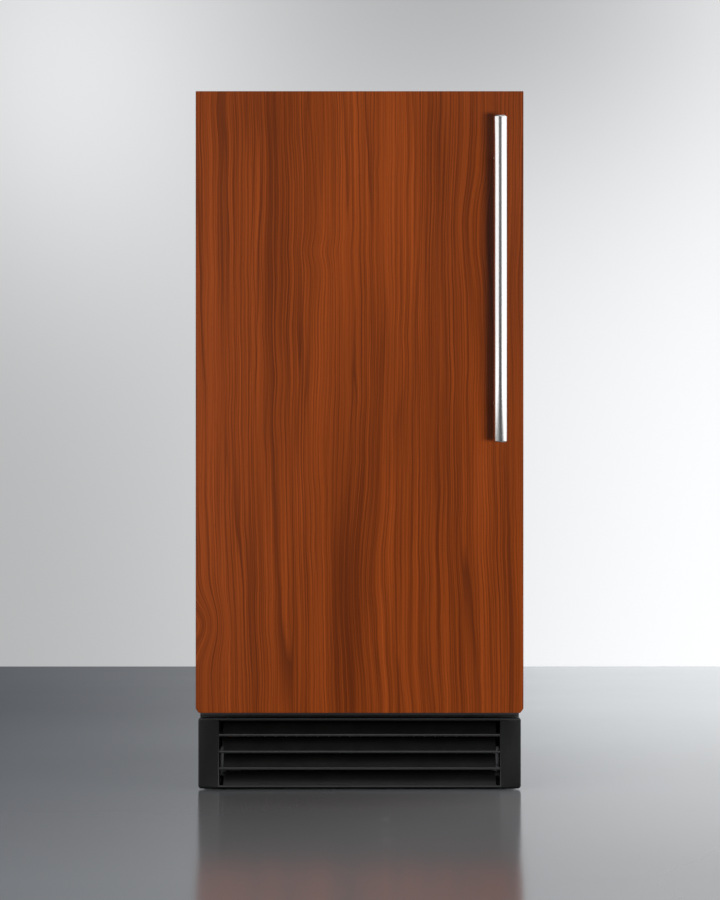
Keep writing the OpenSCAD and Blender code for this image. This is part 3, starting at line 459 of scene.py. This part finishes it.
def edges_along(bm, axis):
    """Edges that run along that axis: 0, 1 or 2."""
    others = [i for i in range(3) if i != axis]
    return [
        e
        for e in bm.edges
        if all(abs(e.verts[0].co[i] - e.verts[1].co[i]) < 1e-7 for i in others)
        and abs(e.verts[0].co[axis] - e.verts[1].co[axis]) > 1e-7
    ]


def add_block(bm, low, high, rounding=0.0, segments=2):
    """A block between two corners with rounded edges."""
    low, high = Vector(low), Vector(high)
    made = bmesh.ops.create_cube(bm, size=1.0)["verts"]
    bmesh.ops.scale(bm, vec=high - low, verts=made)
    bmesh.ops.translate(bm, vec=(low + high) / 2, verts=made)
    if rounding:
        bevel(bm, {e for v in made for e in v.link_edges}, rounding, segments)


def add_turned(bm, outline, centre, axis, steps=48):
    """A turned piece: outline is (distance from the axis, place along it), pole to pole."""
    axis = Vector(axis)
    side = Vector((1, 0, 0)) if abs(axis.x) < 0.5 else Vector((0, 0, 1))
    points = [bm.verts.new(Vector(centre) + axis * t + side * r) for r, t in outline]
    chain = [bm.edges.new(pair) for pair in zip(points, points[1:])]
    bmesh.ops.spin(
        bm,
        geom=points + chain,
        cent=centre,
        axis=axis,
        angle=math.tau,
        steps=steps,
        use_merge=True,
        use_duplicate=False,
    )
    bmesh.ops.remove_doubles(bm, verts=bm.verts, dist=1e-6)


def add_drawn(bm, corners, axis, start, end):
    """A flat outline drawn out along an axis. corners hold the two other coordinates."""
    others = [i for i in range(3) if i != axis]
    verts = []
    for pair in corners:
        place = Vector((0, 0, 0))
        place[axis] = start
        place[others[0]], place[others[1]] = pair
        verts.append(bm.verts.new(place))
    face = bm.faces.new(verts)
    drawn = bmesh.ops.extrude_face_region(bm, geom=[face])["geom"]
    shift = Vector((0, 0, 0))
    shift[axis] = end - start
    moved = [v for v in drawn if isinstance(v, bmesh.types.BMVert)]
    bmesh.ops.translate(bm, vec=shift, verts=moved)
    return verts + moved


def add_windowed_plate(bm, outer, window, y_front, y_back, corner, edge, window_corner=0.0):
    """An upright plate with a window. outer and window are (x low, z low, x high, z high)."""
    made = bmesh.ops.create_grid(bm, x_segments=3, y_segments=3, size=0.5)["verts"]
    xs = (outer[0], window[0], window[2], outer[2])
    zs = (outer[1], window[1], window[3], outer[3])
    for v in made:
        i, j = round((v.co.x + 0.5) * 3), round((v.co.y + 0.5) * 3)
        v.co = Vector((xs[i], y_front, zs[j]))
    faces = {f for v in made for f in v.link_faces}
    middle = [
        f
        for f in faces
        if window[0] < f.calc_center_median().x < window[2]
        and window[1] < f.calc_center_median().z < window[3]
    ]
    bmesh.ops.delete(bm, geom=middle, context="FACES")
    faces = [f for f in faces if f.is_valid]
    drawn = bmesh.ops.extrude_face_region(bm, geom=faces)["geom"]
    moved = [v for v in drawn if isinstance(v, bmesh.types.BMVert)]
    bmesh.ops.translate(bm, vec=(0, y_back - y_front, 0), verts=moved)
    every = set(made) | set(moved)
    bmesh.ops.recalc_face_normals(bm, faces=list({f for v in every for f in v.link_faces}))

    def upright(points):
        """Edges that run from front to back at those points."""
        return [
            e
            for e in edges_along(bm, 1)
            if any((e.verts[0].co.x - x) ** 2 + (e.verts[0].co.z - z) ** 2 < 1e-12 for x, z in points)
        ]

    bevel(bm, upright([(x, z) for x in (xs[0], xs[3]) for z in (zs[0], zs[3])]), corner, 6)
    if window_corner:
        bevel(bm, upright([(x, z) for x in xs[1:3] for z in zs[1:3]]), window_corner, 5)
    sharp = [
        e
        for e in bm.edges
        if len(e.link_faces) == 2
        and all(abs(v.co.y - y_front) < 1e-7 for v in e.verts)
        and e.calc_face_angle(0) > 1.0
    ]
    bevel(bm, sharp, edge, 3)


def finished(name, bm, stands_for, more=(), smooth_angle=35.0, slot=None):
    """Turns the mesh into a piece that stands for a CAD node, with that node's body and finish."""
    bmesh.ops.remove_doubles(bm, verts=bm.verts, dist=1e-7)
    bmesh.ops.recalc_face_normals(bm, faces=bm.faces)
    mesh = bpy.data.meshes.new(name)
    bm.to_mesh(mesh)
    bm.free()
    mesh.shade_smooth()
    mesh.set_sharp_from_angle(angle=math.radians(smooth_angle))
    piece = bpy.data.objects.new(name, mesh)
    bpy.context.scene.collection.objects.link(piece)
    slot = slot or SLOT_OF[stands_for]
    mesh.materials.append(FINISHES[slot])
    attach(piece, BODY_OF[stands_for])
    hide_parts(stands_for, *more)
    return piece


# ---------------------------------------------------------------- door

panel_low, panel_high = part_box("door_panel")


def timber_panel():
    """Overlay panel with clipped lower corners and eased edges."""
    clip_x, clip_z, ease = 3.5 * MM, 5.0 * MM, 0.7 * MM
    left, right = panel_low.x, panel_high.x
    bottom, top = panel_low.z, panel_high.z
    outline = [
        (left + clip_x, bottom),
        (right - clip_x, bottom),
        (right, bottom + clip_z),
        (right, top),
        (left, top),
        (left, bottom + clip_z),
    ]
    bm = bmesh.new()
    add_drawn(bm, outline, 1, panel_low.y, panel_high.y)
    bevel(bm, bm.edges, ease, 3)
    finished("timber_panel", bm, "door_panel", smooth_angle=50)


bar_low, bar_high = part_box("handle_bar")
bar_radius = (bar_high.x - bar_low.x) / 2
bar_centre = (bar_low + bar_high) / 2


def bar():
    """Turned bar with chamfered ends."""
    half = (bar_high.z - bar_low.z) / 2
    chamfer, soft = 1.3 * MM, 0.25 * MM
    outline = [
        (0, -half),
        (bar_radius - chamfer - soft, -half),
        (bar_radius - chamfer, -half + soft * 0.4),
        (bar_radius - soft * 0.4, -half + chamfer),
        (bar_radius, -half + chamfer + soft),
    ]
    outline += [(r, -t) for r, t in reversed(outline)]
    bm = bmesh.new()
    add_turned(bm, outline, bar_centre, (0, 0, 1), steps=96)
    finished("bar", bm, "handle_bar", smooth_angle=30)


def posts():
    """Standoff posts with a stepped foot where they meet the timber."""
    low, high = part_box("handle_posts")
    radius = (high.x - low.x) / 2
    bm = bmesh.new()
    for z in (low.z + radius, high.z - radius):
        foot = high.y
        outline = [
            (0, 0),
            (radius, 0),
            (radius, 1.6 * MM),
            (radius - 0.4 * MM, 2.0 * MM),
            (radius - 0.8 * MM, 2.4 * MM),
            (radius - 0.8 * MM, foot - bar_centre.y),
            (0, foot - bar_centre.y),
        ]
        add_turned(bm, outline, (bar_centre.x, foot, z), (0, -1, 0), steps=40)
    finished("posts", bm, "handle_posts")


def seal():
    """Magnetic door seal: retaining base, narrow neck and soft bulb."""
    low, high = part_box("door_gasket")
    width = 14 * MM
    bm = bmesh.new()
    for inset, y_front, y_back, edge in (
        (0.0, low.y, low.y + 2.4 * MM, 0.6 * MM),
        (2.6 * MM, low.y + 2.4 * MM, low.y + 4.2 * MM, 0.4 * MM),
        (1.0 * MM, high.y, low.y + 4.2 * MM, 1.6 * MM),
    ):
        outer = (low.x + inset, low.z + inset, high.x - inset, high.z - inset)
        inner = (
            low.x + width - inset,
            low.z + width - inset,
            high.x - width + inset,
            high.z - width + inset,
        )
        add_windowed_plate(bm, outer, inner, y_front, y_back, 6 * MM, edge, window_corner=4 * MM)
    finished("seal", bm, "door_gasket", smooth_angle=60)


def door_lining():
    """Moulded inner face of the door: flat rim, deep-drawn raised middle with soft corners."""
    low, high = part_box("door_inner_liner")
    seal_low, seal_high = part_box("door_gasket")
    side_margin, low_margin, top_margin = 40.5 * MM, 40 * MM, 54 * MM
    rise_low = Vector((seal_low.x + side_margin, seal_low.y, seal_low.z + low_margin))
    rise_high = Vector((seal_high.x - side_margin, high.y, seal_high.z - top_margin))
    bm = bmesh.new()
    add_block(bm, low, (high.x, seal_low.y, high.z), 0.5 * MM)
    made = bmesh.ops.create_cube(bm, size=1.0)["verts"]
    bmesh.ops.scale(bm, vec=rise_high - rise_low, verts=made)
    bmesh.ops.translate(bm, vec=(rise_low + rise_high) / 2, verts=made)
    edges = {e for v in made for e in v.link_edges}
    upright = [e for e in edges if abs(e.verts[0].co.y - e.verts[1].co.y) > 1e-6]
    bevel(bm, upright, 9 * MM, 6)
    rim = [
        e
        for e in bm.edges
        if all(abs(v.co.y - rise_high.y) < 1e-7 for v in e.verts) and e.calc_face_angle(0) > 1.0
    ]
    bevel(bm, rim, 4.5 * MM, 5)
    finished("door_lining", bm, "door_inner_liner", smooth_angle=40)


# ---------------------------------------------------------------- cabinet

grille_low, grille_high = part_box("kick_grille")


def toe_grille():
    """Louvred toe grille: rounded face plate, returns, jambs and sloping blades with raised lips."""
    window_half, sill, band = 163 * MM, 3.6 * MM, 4.2 * MM
    plate, wall, end_gap = 3 * MM, 2 * MM, 4.5 * MM
    corner, edge, tuck = 3.6 * MM, 1.4 * MM, 0.4 * MM
    slots, lip, bead, blade_depth = 4, 3.0 * MM, 1.0 * MM, 17 * MM
    skin, inset, foot = 1.8 * MM, 3 * MM, 4 * MM
    front, back = grille_low.y, grille_high.y
    bottom, top = grille_low.z, grille_high.z
    pitch = (top - band - bottom - 0.5 * MM) / slots
    bm = bmesh.new()
    add_windowed_plate(
        bm,
        (grille_low.x, bottom, grille_high.x, top),
        (-window_half, bottom + sill, window_half, top - band),
        front,
        front + plate,
        corner,
        edge,
    )
    under = top - tuck - wall
    add_block(
        bm,
        (grille_low.x + inset, front + plate, under),
        (grille_high.x - inset, back, top - tuck),
        tuck,
    )
    for x in (grille_low.x + tuck, grille_high.x - tuck - wall, -window_half - wall, window_half):
        ease = tuck if abs(x) > window_half + wall else 0.3 * MM
        add_block(bm, (x, front + plate, bottom + foot), (x + wall, back, under), ease)
    for i in range(slots):
        z = bottom + i * pitch + (2.3 * MM if i else 0.6 * MM)
        root = front + (0.6 if i else 0.9) * plate
        rear = z + pitch - skin
        blade = [
            (root, z + lip - 1.2 * bead),
            (front + blade_depth, rear),
            (front + blade_depth, rear - skin),
            (root, z + 0.2 * MM),
        ]
        add_drawn(bm, blade, 0, -window_half + end_gap, window_half - end_gap)
        if i:
            turns = [math.pi * k / 8 for k in range(9)]
            y, tip = front + 0.3 * MM + bead, z + lip - bead
            rolled = [(y - bead * math.cos(t), tip + bead * math.sin(t)) for t in turns]
            add_drawn(bm, [(y - bead, z), *rolled, (y + bead, z)], 0, -window_half, window_half)
    finished("toe_grille", bm, "kick_grille", smooth_angle=40)


def levelling_feet():
    """Turned pad, hexagon and threaded stem of each foot."""
    for name in ("foot_front_left", "foot_front_right", "foot_rear_left", "foot_rear_right"):
        low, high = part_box(name)
        x, y = (low.x + high.x) / 2, (low.y + high.y) / 2
        radius, stem, pitch = (high.x - low.x) / 2, 3.95 * MM, 1.5 * MM
        outline = [(0, 0), (radius - 1.5 * MM, 0), (radius, 1.2 * MM), (radius, 3.6 * MM)]
        outline += [(radius - 1.4 * MM, 5 * MM), (stem, 5 * MM), (stem, 11.4 * MM)]
        threads = int((high.z - 13 * MM) / pitch)
        for i in range(threads):
            z = 11.9 * MM + i * pitch
            outline += [(stem, z), (stem - 0.5 * MM, z + pitch / 2)]
        outline += [(stem - 0.4 * MM, high.z - 0.4 * MM), (0, high.z - 0.4 * MM)]
        bm = bmesh.new()
        add_turned(bm, outline, (x, y, 0), (0, 0, 1), steps=32)
        hexagon = bmesh.ops.create_cone(
            bm, cap_ends=True, segments=6, radius1=9 * MM, radius2=9 * MM, depth=6.2 * MM
        )["verts"]
        bmesh.ops.translate(bm, vec=(x, y, 8.2 * MM), verts=hexagon)
        bevel(bm, {e for v in hexagon for e in v.link_edges}, 0.5 * MM)
        finished(name + "_turned", bm, name)


def folded_sheets():
    """Outer sheets with rolled edges, so that they catch light as folded steel does."""
    for name in ("left_side_panel", "right_side_panel", "rear_panel", "lower_front_panel"):
        low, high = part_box(name)
        bm = bmesh.new()
        add_block(bm, low, high, 0.45 * MM, 3)
        finished(name + "_folded", bm, name)


def bin_tub():
    """Vacuum-formed bin with drawn corners, open at the front."""
    low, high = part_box("inner_liner")
    wall = 2 * MM
    inner_low, inner_high = low + Vector((wall, 0, wall)), high - Vector((wall, wall, wall))
    bm = bmesh.new()
    made = bmesh.ops.create_cube(bm, size=1.0)["verts"]
    bmesh.ops.scale(bm, vec=inner_high - inner_low, verts=made)
    bmesh.ops.translate(bm, vec=(inner_low + inner_high) / 2, verts=made)
    bmesh.ops.delete(
        bm,
        geom=[f for f in bm.faces if f.calc_center_median().y < inner_low.y + 1e-6],
        context="FACES_ONLY",
    )
    corners = [e for e in bm.edges if not e.is_boundary]
    bevel(bm, corners, 20 * MM, 6)
    bmesh.ops.recalc_face_normals(bm, faces=bm.faces)
    bmesh.ops.solidify(bm, geom=bm.faces[:], thickness=-wall * 0.9)
    finished("bin_tub", bm, "inner_liner", smooth_angle=40)


def mouth_frame():
    """Breaker frame round the bin's mouth."""
    low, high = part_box("front_face_frame")
    tub_low, tub_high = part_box("inner_liner")
    wall = 2 * MM
    bm = bmesh.new()
    add_windowed_plate(
        bm,
        (low.x, low.z, high.x, high.z),
        (tub_low.x + wall, tub_low.z + wall, tub_high.x - wall, tub_high.z - wall),
        low.y,
        high.y,
        1.5 * MM,
        1.5 * MM,
        window_corner=20 * MM,
    )
    finished("mouth_frame", bm, "front_face_frame", smooth_angle=40)


def scoop():
    """Hand scoop: half-round bowl with a raked mouth, closed back and rounded grip."""
    low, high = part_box("ice_scoop")
    radius = (high.x - low.x) / 2
    x, z = (low.x + high.x) / 2, high.z
    wall, back_y = 2 * MM, low.y + 110 * MM
    bm = bmesh.new()
    bowl = radius - wall
    turns = [math.pi + math.pi * i / 24 for i in range(25)]
    points = [
        bm.verts.new((x + bowl * math.cos(a), low.y + 1 * MM, z + bowl * math.sin(a))) for a in turns
    ]
    edges = [bm.edges.new(pair) for pair in zip(points, points[1:])]
    drawn = bmesh.ops.extrude_edge_only(bm, edges=edges)["geom"]
    far = [v for v in drawn if isinstance(v, bmesh.types.BMVert)]
    bmesh.ops.translate(bm, vec=(0, back_y - wall - low.y - 1 * MM, 0), verts=far)
    bm.faces.new(sorted(far, key=lambda v: math.atan2(v.co.z - z - 1e-6, v.co.x - x)))
    rake = (Vector((x, low.y + 18 * MM, z)), Vector((0, -1, 0.55)).normalized())
    bmesh.ops.bisect_plane(
        bm,
        geom=bm.verts[:] + bm.edges[:] + bm.faces[:],
        plane_co=rake[0],
        plane_no=rake[1],
        clear_outer=True,
    )
    bmesh.ops.recalc_face_normals(bm, faces=bm.faces)
    bmesh.ops.solidify(bm, geom=bm.faces[:], thickness=wall * 0.95)
    grip = 9 * MM
    length = high.y - back_y
    flare, waist, end = grip * 1.25, grip * 0.86, 8 * MM
    outline = [(0, -2 * MM), (flare, -2 * MM), (flare, 1 * MM), (waist, end)]
    outline += [(waist, length * 0.35), (grip, length * 0.6), (grip * 0.97, length - end)]
    outline += [(grip * math.cos(a), length - end + end * math.sin(a)) for a in (0.5, 0.9, 1.25)]
    outline += [(0, length)]
    add_turned(bm, outline, (x, back_y, z - 12 * MM), (0, 1, 0), steps=32)
    finished("scoop", bm, "ice_scoop", smooth_angle=45)


def soft_blocks():
    """Plain moulded parts whose edges only need easing."""
    for name, ease in (
        ("display_window", 0.3 * MM),
        ("terminal_box", 2.0 * MM),
    ):
        low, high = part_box(name)
        bm = bmesh.new()
        add_block(bm, low, high, ease, 3)
        finished(name + "_eased", bm, name)


def buttons():
    """Push buttons with a dished, ring-edged face."""
    for name in ("button_power", "button_clean"):
        low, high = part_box(name)
        x, z = (low.x + high.x) / 2, (low.z + high.z) / 2
        face, flange = 6.0 * MM, (high.x - low.x) / 2
        depth = high.y - low.y
        outline = [(0, 0.35 * MM), (face - 1.4 * MM, 0.30 * MM), (face - 0.9 * MM, 0)]
        outline += [(face - 0.3 * MM, 0.05 * MM), (face, 0.4 * MM), (face, depth - 1.5 * MM)]
        outline += [(flange, depth - 1.5 * MM), (flange, depth), (0, depth)]
        bm = bmesh.new()
        add_turned(bm, outline, (x, low.y, z), (0, 1, 0), steps=48)
        finished(name + "_turned", bm, name)


for build in (
    timber_panel,
    bar,
    posts,
    seal,
    door_lining,
    toe_grille,
    levelling_feet,
    folded_sheets,
    bin_tub,
    mouth_frame,
    scoop,
    soft_blocks,
    buttons,
):
    build()

for node, obj in frame["nodes"].items():
    obj.data.materials.clear()
    obj.data.materials.append(FINISHES[SLOT_OF[node]])


# ---------------------------------------------------------------- stage, lights and camera


def one_sided(tree, surface):
    """Lets the camera look through the wall from behind."""
    clear = add(tree, "ShaderNodeBsdfTransparent")
    mix = add(tree, "ShaderNodeMixShader")
    out = next(n for n in tree.nodes if n.type == "OUTPUT_MATERIAL")
    tree.links.new(add(tree, "ShaderNodeNewGeometry").outputs["Backfacing"], mix.inputs[0])
    tree.links.new(surface.outputs[0], mix.inputs[1])
    tree.links.new(clear.outputs[0], mix.inputs[2])
    tree.links.new(mix.outputs[0], out.inputs["Surface"])


def flat_stage(name, corners, material):
    """A flat sheet of the stage."""
    bm = bmesh.new()
    bm.faces.new([bm.verts.new(c) for c in corners])
    mesh = bpy.data.meshes.new(name)
    bm.to_mesh(mesh)
    bm.free()
    piece = bpy.data.objects.new(name, mesh)
    bpy.context.scene.collection.objects.link(piece)
    mesh.materials.append(material)
    return piece


def soft_patch(tree, place, x, z, wide, tall):
    """A smooth mask round a point of the upright plane."""
    dx = calc(tree, "DIVIDE", calc(tree, "SUBTRACT", place["X"], x), wide)
    dz = calc(tree, "DIVIDE", calc(tree, "SUBTRACT", place["Z"], z), tall)
    square = calc(tree, "ADD", calc(tree, "POWER", dx, 2.0), calc(tree, "POWER", dz, 2.0))
    return calc(tree, "EXPONENT", calc(tree, "MULTIPLY", square, -1.0))


def studio_floor(reach):
    """Pale floor with a soft polish and painted shade, darker to the left and towards the front."""
    floor, tree, surface, position = new_material("studio_floor", Specular_IOR_Level=0.3)
    place = add(tree, "ShaderNodeSeparateXYZ", {"Vector": position}).outputs
    side = calc(tree, "ADD", calc(tree, "MULTIPLY", place["X"], 0.8), 0.5, clamp=True)
    depth = calc(tree, "DIVIDE", calc(tree, "ADD", place["Y"], 1.0), 1.9, clamp=True)
    # Painted shade and light: darker at the near right and far left, lighter at the near left and far
    # right
    near = ramp(tree, side, (0.0, 0.42), (0.5, 0.40), (1.0, 0.03), smooth=True)
    far = ramp(tree, side, (0.0, 0.02), (0.35, 0.04), (0.82, 1.0), smooth=True)
    tone = blend_colours(tree, depth, near, far)
    tint = blend_colours(tree, 1.0, tone, (0.93, 0.97, 1.0), "MULTIPLY")
    tree.links.new(tint, surface.inputs["Base Color"])
    cloud = noise(tree, position, 3.0, 3.0)
    rough = calc(tree, "ADD", 0.12, calc(tree, "MULTIPLY", cloud, 0.05))
    tree.links.new(rough, surface.inputs["Roughness"])
    corners = [(-reach, -reach, 0), (reach, -reach, 0), (reach, reach, 0), (-reach, reach, 0)]
    return flat_stage("floor_sheet", corners, floor)


def studio_wall(reach):
    """Softly glowing wall: painted light, brighter to the lower right, with a painted shade patch and a
    painted bright patch; seen through from behind.
    """
    wall_y, wall_top = 1.82, 5.0
    wall, tree, surface, position = new_material(
        "studio_wall", Roughness=0.8, Specular_IOR_Level=0.2, Emission_Strength=1.0
    )
    place = add(tree, "ShaderNodeSeparateXYZ", {"Vector": position}).outputs
    # Painted light: the wall's glow rises to the right, with a painted shade patch to the upper right
    # and a painted bright patch to the upper left
    side = calc(tree, "ADD", calc(tree, "MULTIPLY", place["X"], 0.6), 0.5, clamp=True)
    tone = ramp(tree, side, (0.0, 0.405), (1.0, 0.90), smooth=True)
    painted_shade = calc(tree, "MULTIPLY", soft_patch(tree, place, 0.30, 1.30, 0.52, 0.45), -0.38)
    painted_glow = calc(tree, "MULTIPLY", soft_patch(tree, place, -0.55, 1.10, 0.36, 0.42), 0.30)
    tone = calc(tree, "ADD", calc(tree, "ADD", tone, painted_shade), painted_glow)
    tone = blend_colours(tree, 1.0, tone, (0.98, 0.99, 1.0), "MULTIPLY")
    # Painted reflection: seen in reflections the wall is darker and bluer towards the left, so the
    # floor shows a painted darker reflection there
    painted_reflection_shade = blend_colours(tree, side, (0.24, 0.27, 0.32), (1.0, 1.0, 1.0))
    mirrored = add(tree, "ShaderNodeLightPath").outputs["Is Glossy Ray"]
    tone = blend_colours(tree, mirrored, tone, blend_colours(tree, 1.0, tone, painted_reflection_shade, "MULTIPLY"))
    tree.links.new(tone, surface.inputs["Emission Color"])
    # Painted light: the base colour is also a little lighter to the right
    tree.links.new(ramp(tree, side, (0.0, 0.28), (1.0, 0.32)), surface.inputs["Base Color"])
    one_sided(tree, surface)
    corners = [
        (-reach, wall_y, 0),
        (reach, wall_y, 0),
        (reach, wall_y, wall_top),
        (-reach, wall_y, wall_top),
    ]
    return flat_stage("wall_sheet", corners, wall)


def area_light(name, place, aim, size, power, mirrored=True, diffuse=True):
    """A rectangular lamp that the camera never sees. mirrored and diffuse say what it lights."""
    data = bpy.data.lights.new(name, "AREA")
    data.shape = "RECTANGLE"
    data.size, data.size_y = size
    data.energy = power
    lamp = bpy.data.objects.new(name, data)
    lamp.location = place
    lamp.rotation_euler = (Vector(aim) - Vector(place)).to_track_quat("-Z", "Y").to_euler()
    lamp.visible_glossy = mirrored
    lamp.visible_diffuse = diffuse
    lamp.visible_camera = False
    bpy.context.scene.collection.objects.link(lamp)
    return lamp


def light_only(lamp, pieces, choice):
    """Limits a lamp to those pieces, or keeps it off them."""
    group = bpy.data.collections.new(lamp.name + "_pieces")
    for piece in pieces:
        group.objects.link(piece)
    lamp.light_linking.receiver_collection = group
    for member in group.collection_objects:
        member.light_linking.link_state = choice


def lights(backdrop):
    """Cards at both sides, a key from the right, a soft top light, a fill and a grille light."""
    handle = [bpy.data.objects["bar"]]
    grille = [bpy.data.objects["toe_grille"]]
    bar_card_share = 0.32
    for name, side, power in (("left", -1, 56), ("right", 1, 62)):
        far = area_light(
            name + "_card",
            (side * 2.75, -1.25, 1.2),
            (0.0, -0.25, 1.2),
            (6.0, 2.4),
            power,
            diffuse=False,
        )
        light_only(far, handle, "EXCLUDE")
        # The bar's own cards stand nearer at the same angles, so that its bands run down to the end
        near = area_light(
            name + "_bar_card",
            (side * 1.24, -0.70, 0.87),
            (0.0, -0.25, 0.87),
            (2.7, 1.7),
            power * bar_card_share,
            diffuse=False,
        )
        light_only(near, handle, "INCLUDE")
    area_light("left_fill", (-2.9, -1.6, 1.2), (0.0, -0.25, 0.8), (1.5, 1.5), 5, mirrored=False)
    area_light("top_light", (0.1, -1.0, 2.7), (0.0, -0.2, 0.2), (2.2, 0.7), 12)
    key = area_light(
        "front_key", (0.93, -3.7, 0.16), (0.1, -0.25, 0.30), (0.85, 0.45), 170, mirrored=False
    )
    low = area_light("grille_light", (0.1, -1.5, 0.95), (0.0, -0.24, 0.04), (1.6, 1.6), 18)
    light_only(key, [*backdrop, *grille], "EXCLUDE")
    light_only(low, grille, "INCLUDE")
    world = bpy.data.worlds.new("studio_air")
    world.use_nodes = True
    air = world.node_tree.nodes["Background"].inputs
    air["Color"].default_value = (0.80, 0.81, 0.83, 1)
    air["Strength"].default_value = 0.22
    bpy.context.scene.world = world


def camera():
    """Level camera in front of the door, at a little under half of its height."""
    distance, eye_x, eye_z, lens = 3.6, 0.0005, 0.3942, 124.9
    data = bpy.data.cameras.new("front_camera")
    data.lens, data.sensor_width = lens, 36.0
    eye = bpy.data.objects.new("front_camera", data)
    eye.location = (eye_x, panel_low.y - distance, eye_z)
    eye.rotation_euler = (math.radians(90), 0, 0)
    bpy.context.scene.collection.objects.link(eye)
    bpy.context.scene.camera = eye


REACH = 9.0
lights([studio_floor(REACH), studio_wall(REACH)])
camera()
bpy.context.scene.view_settings.view_transform = "Standard"
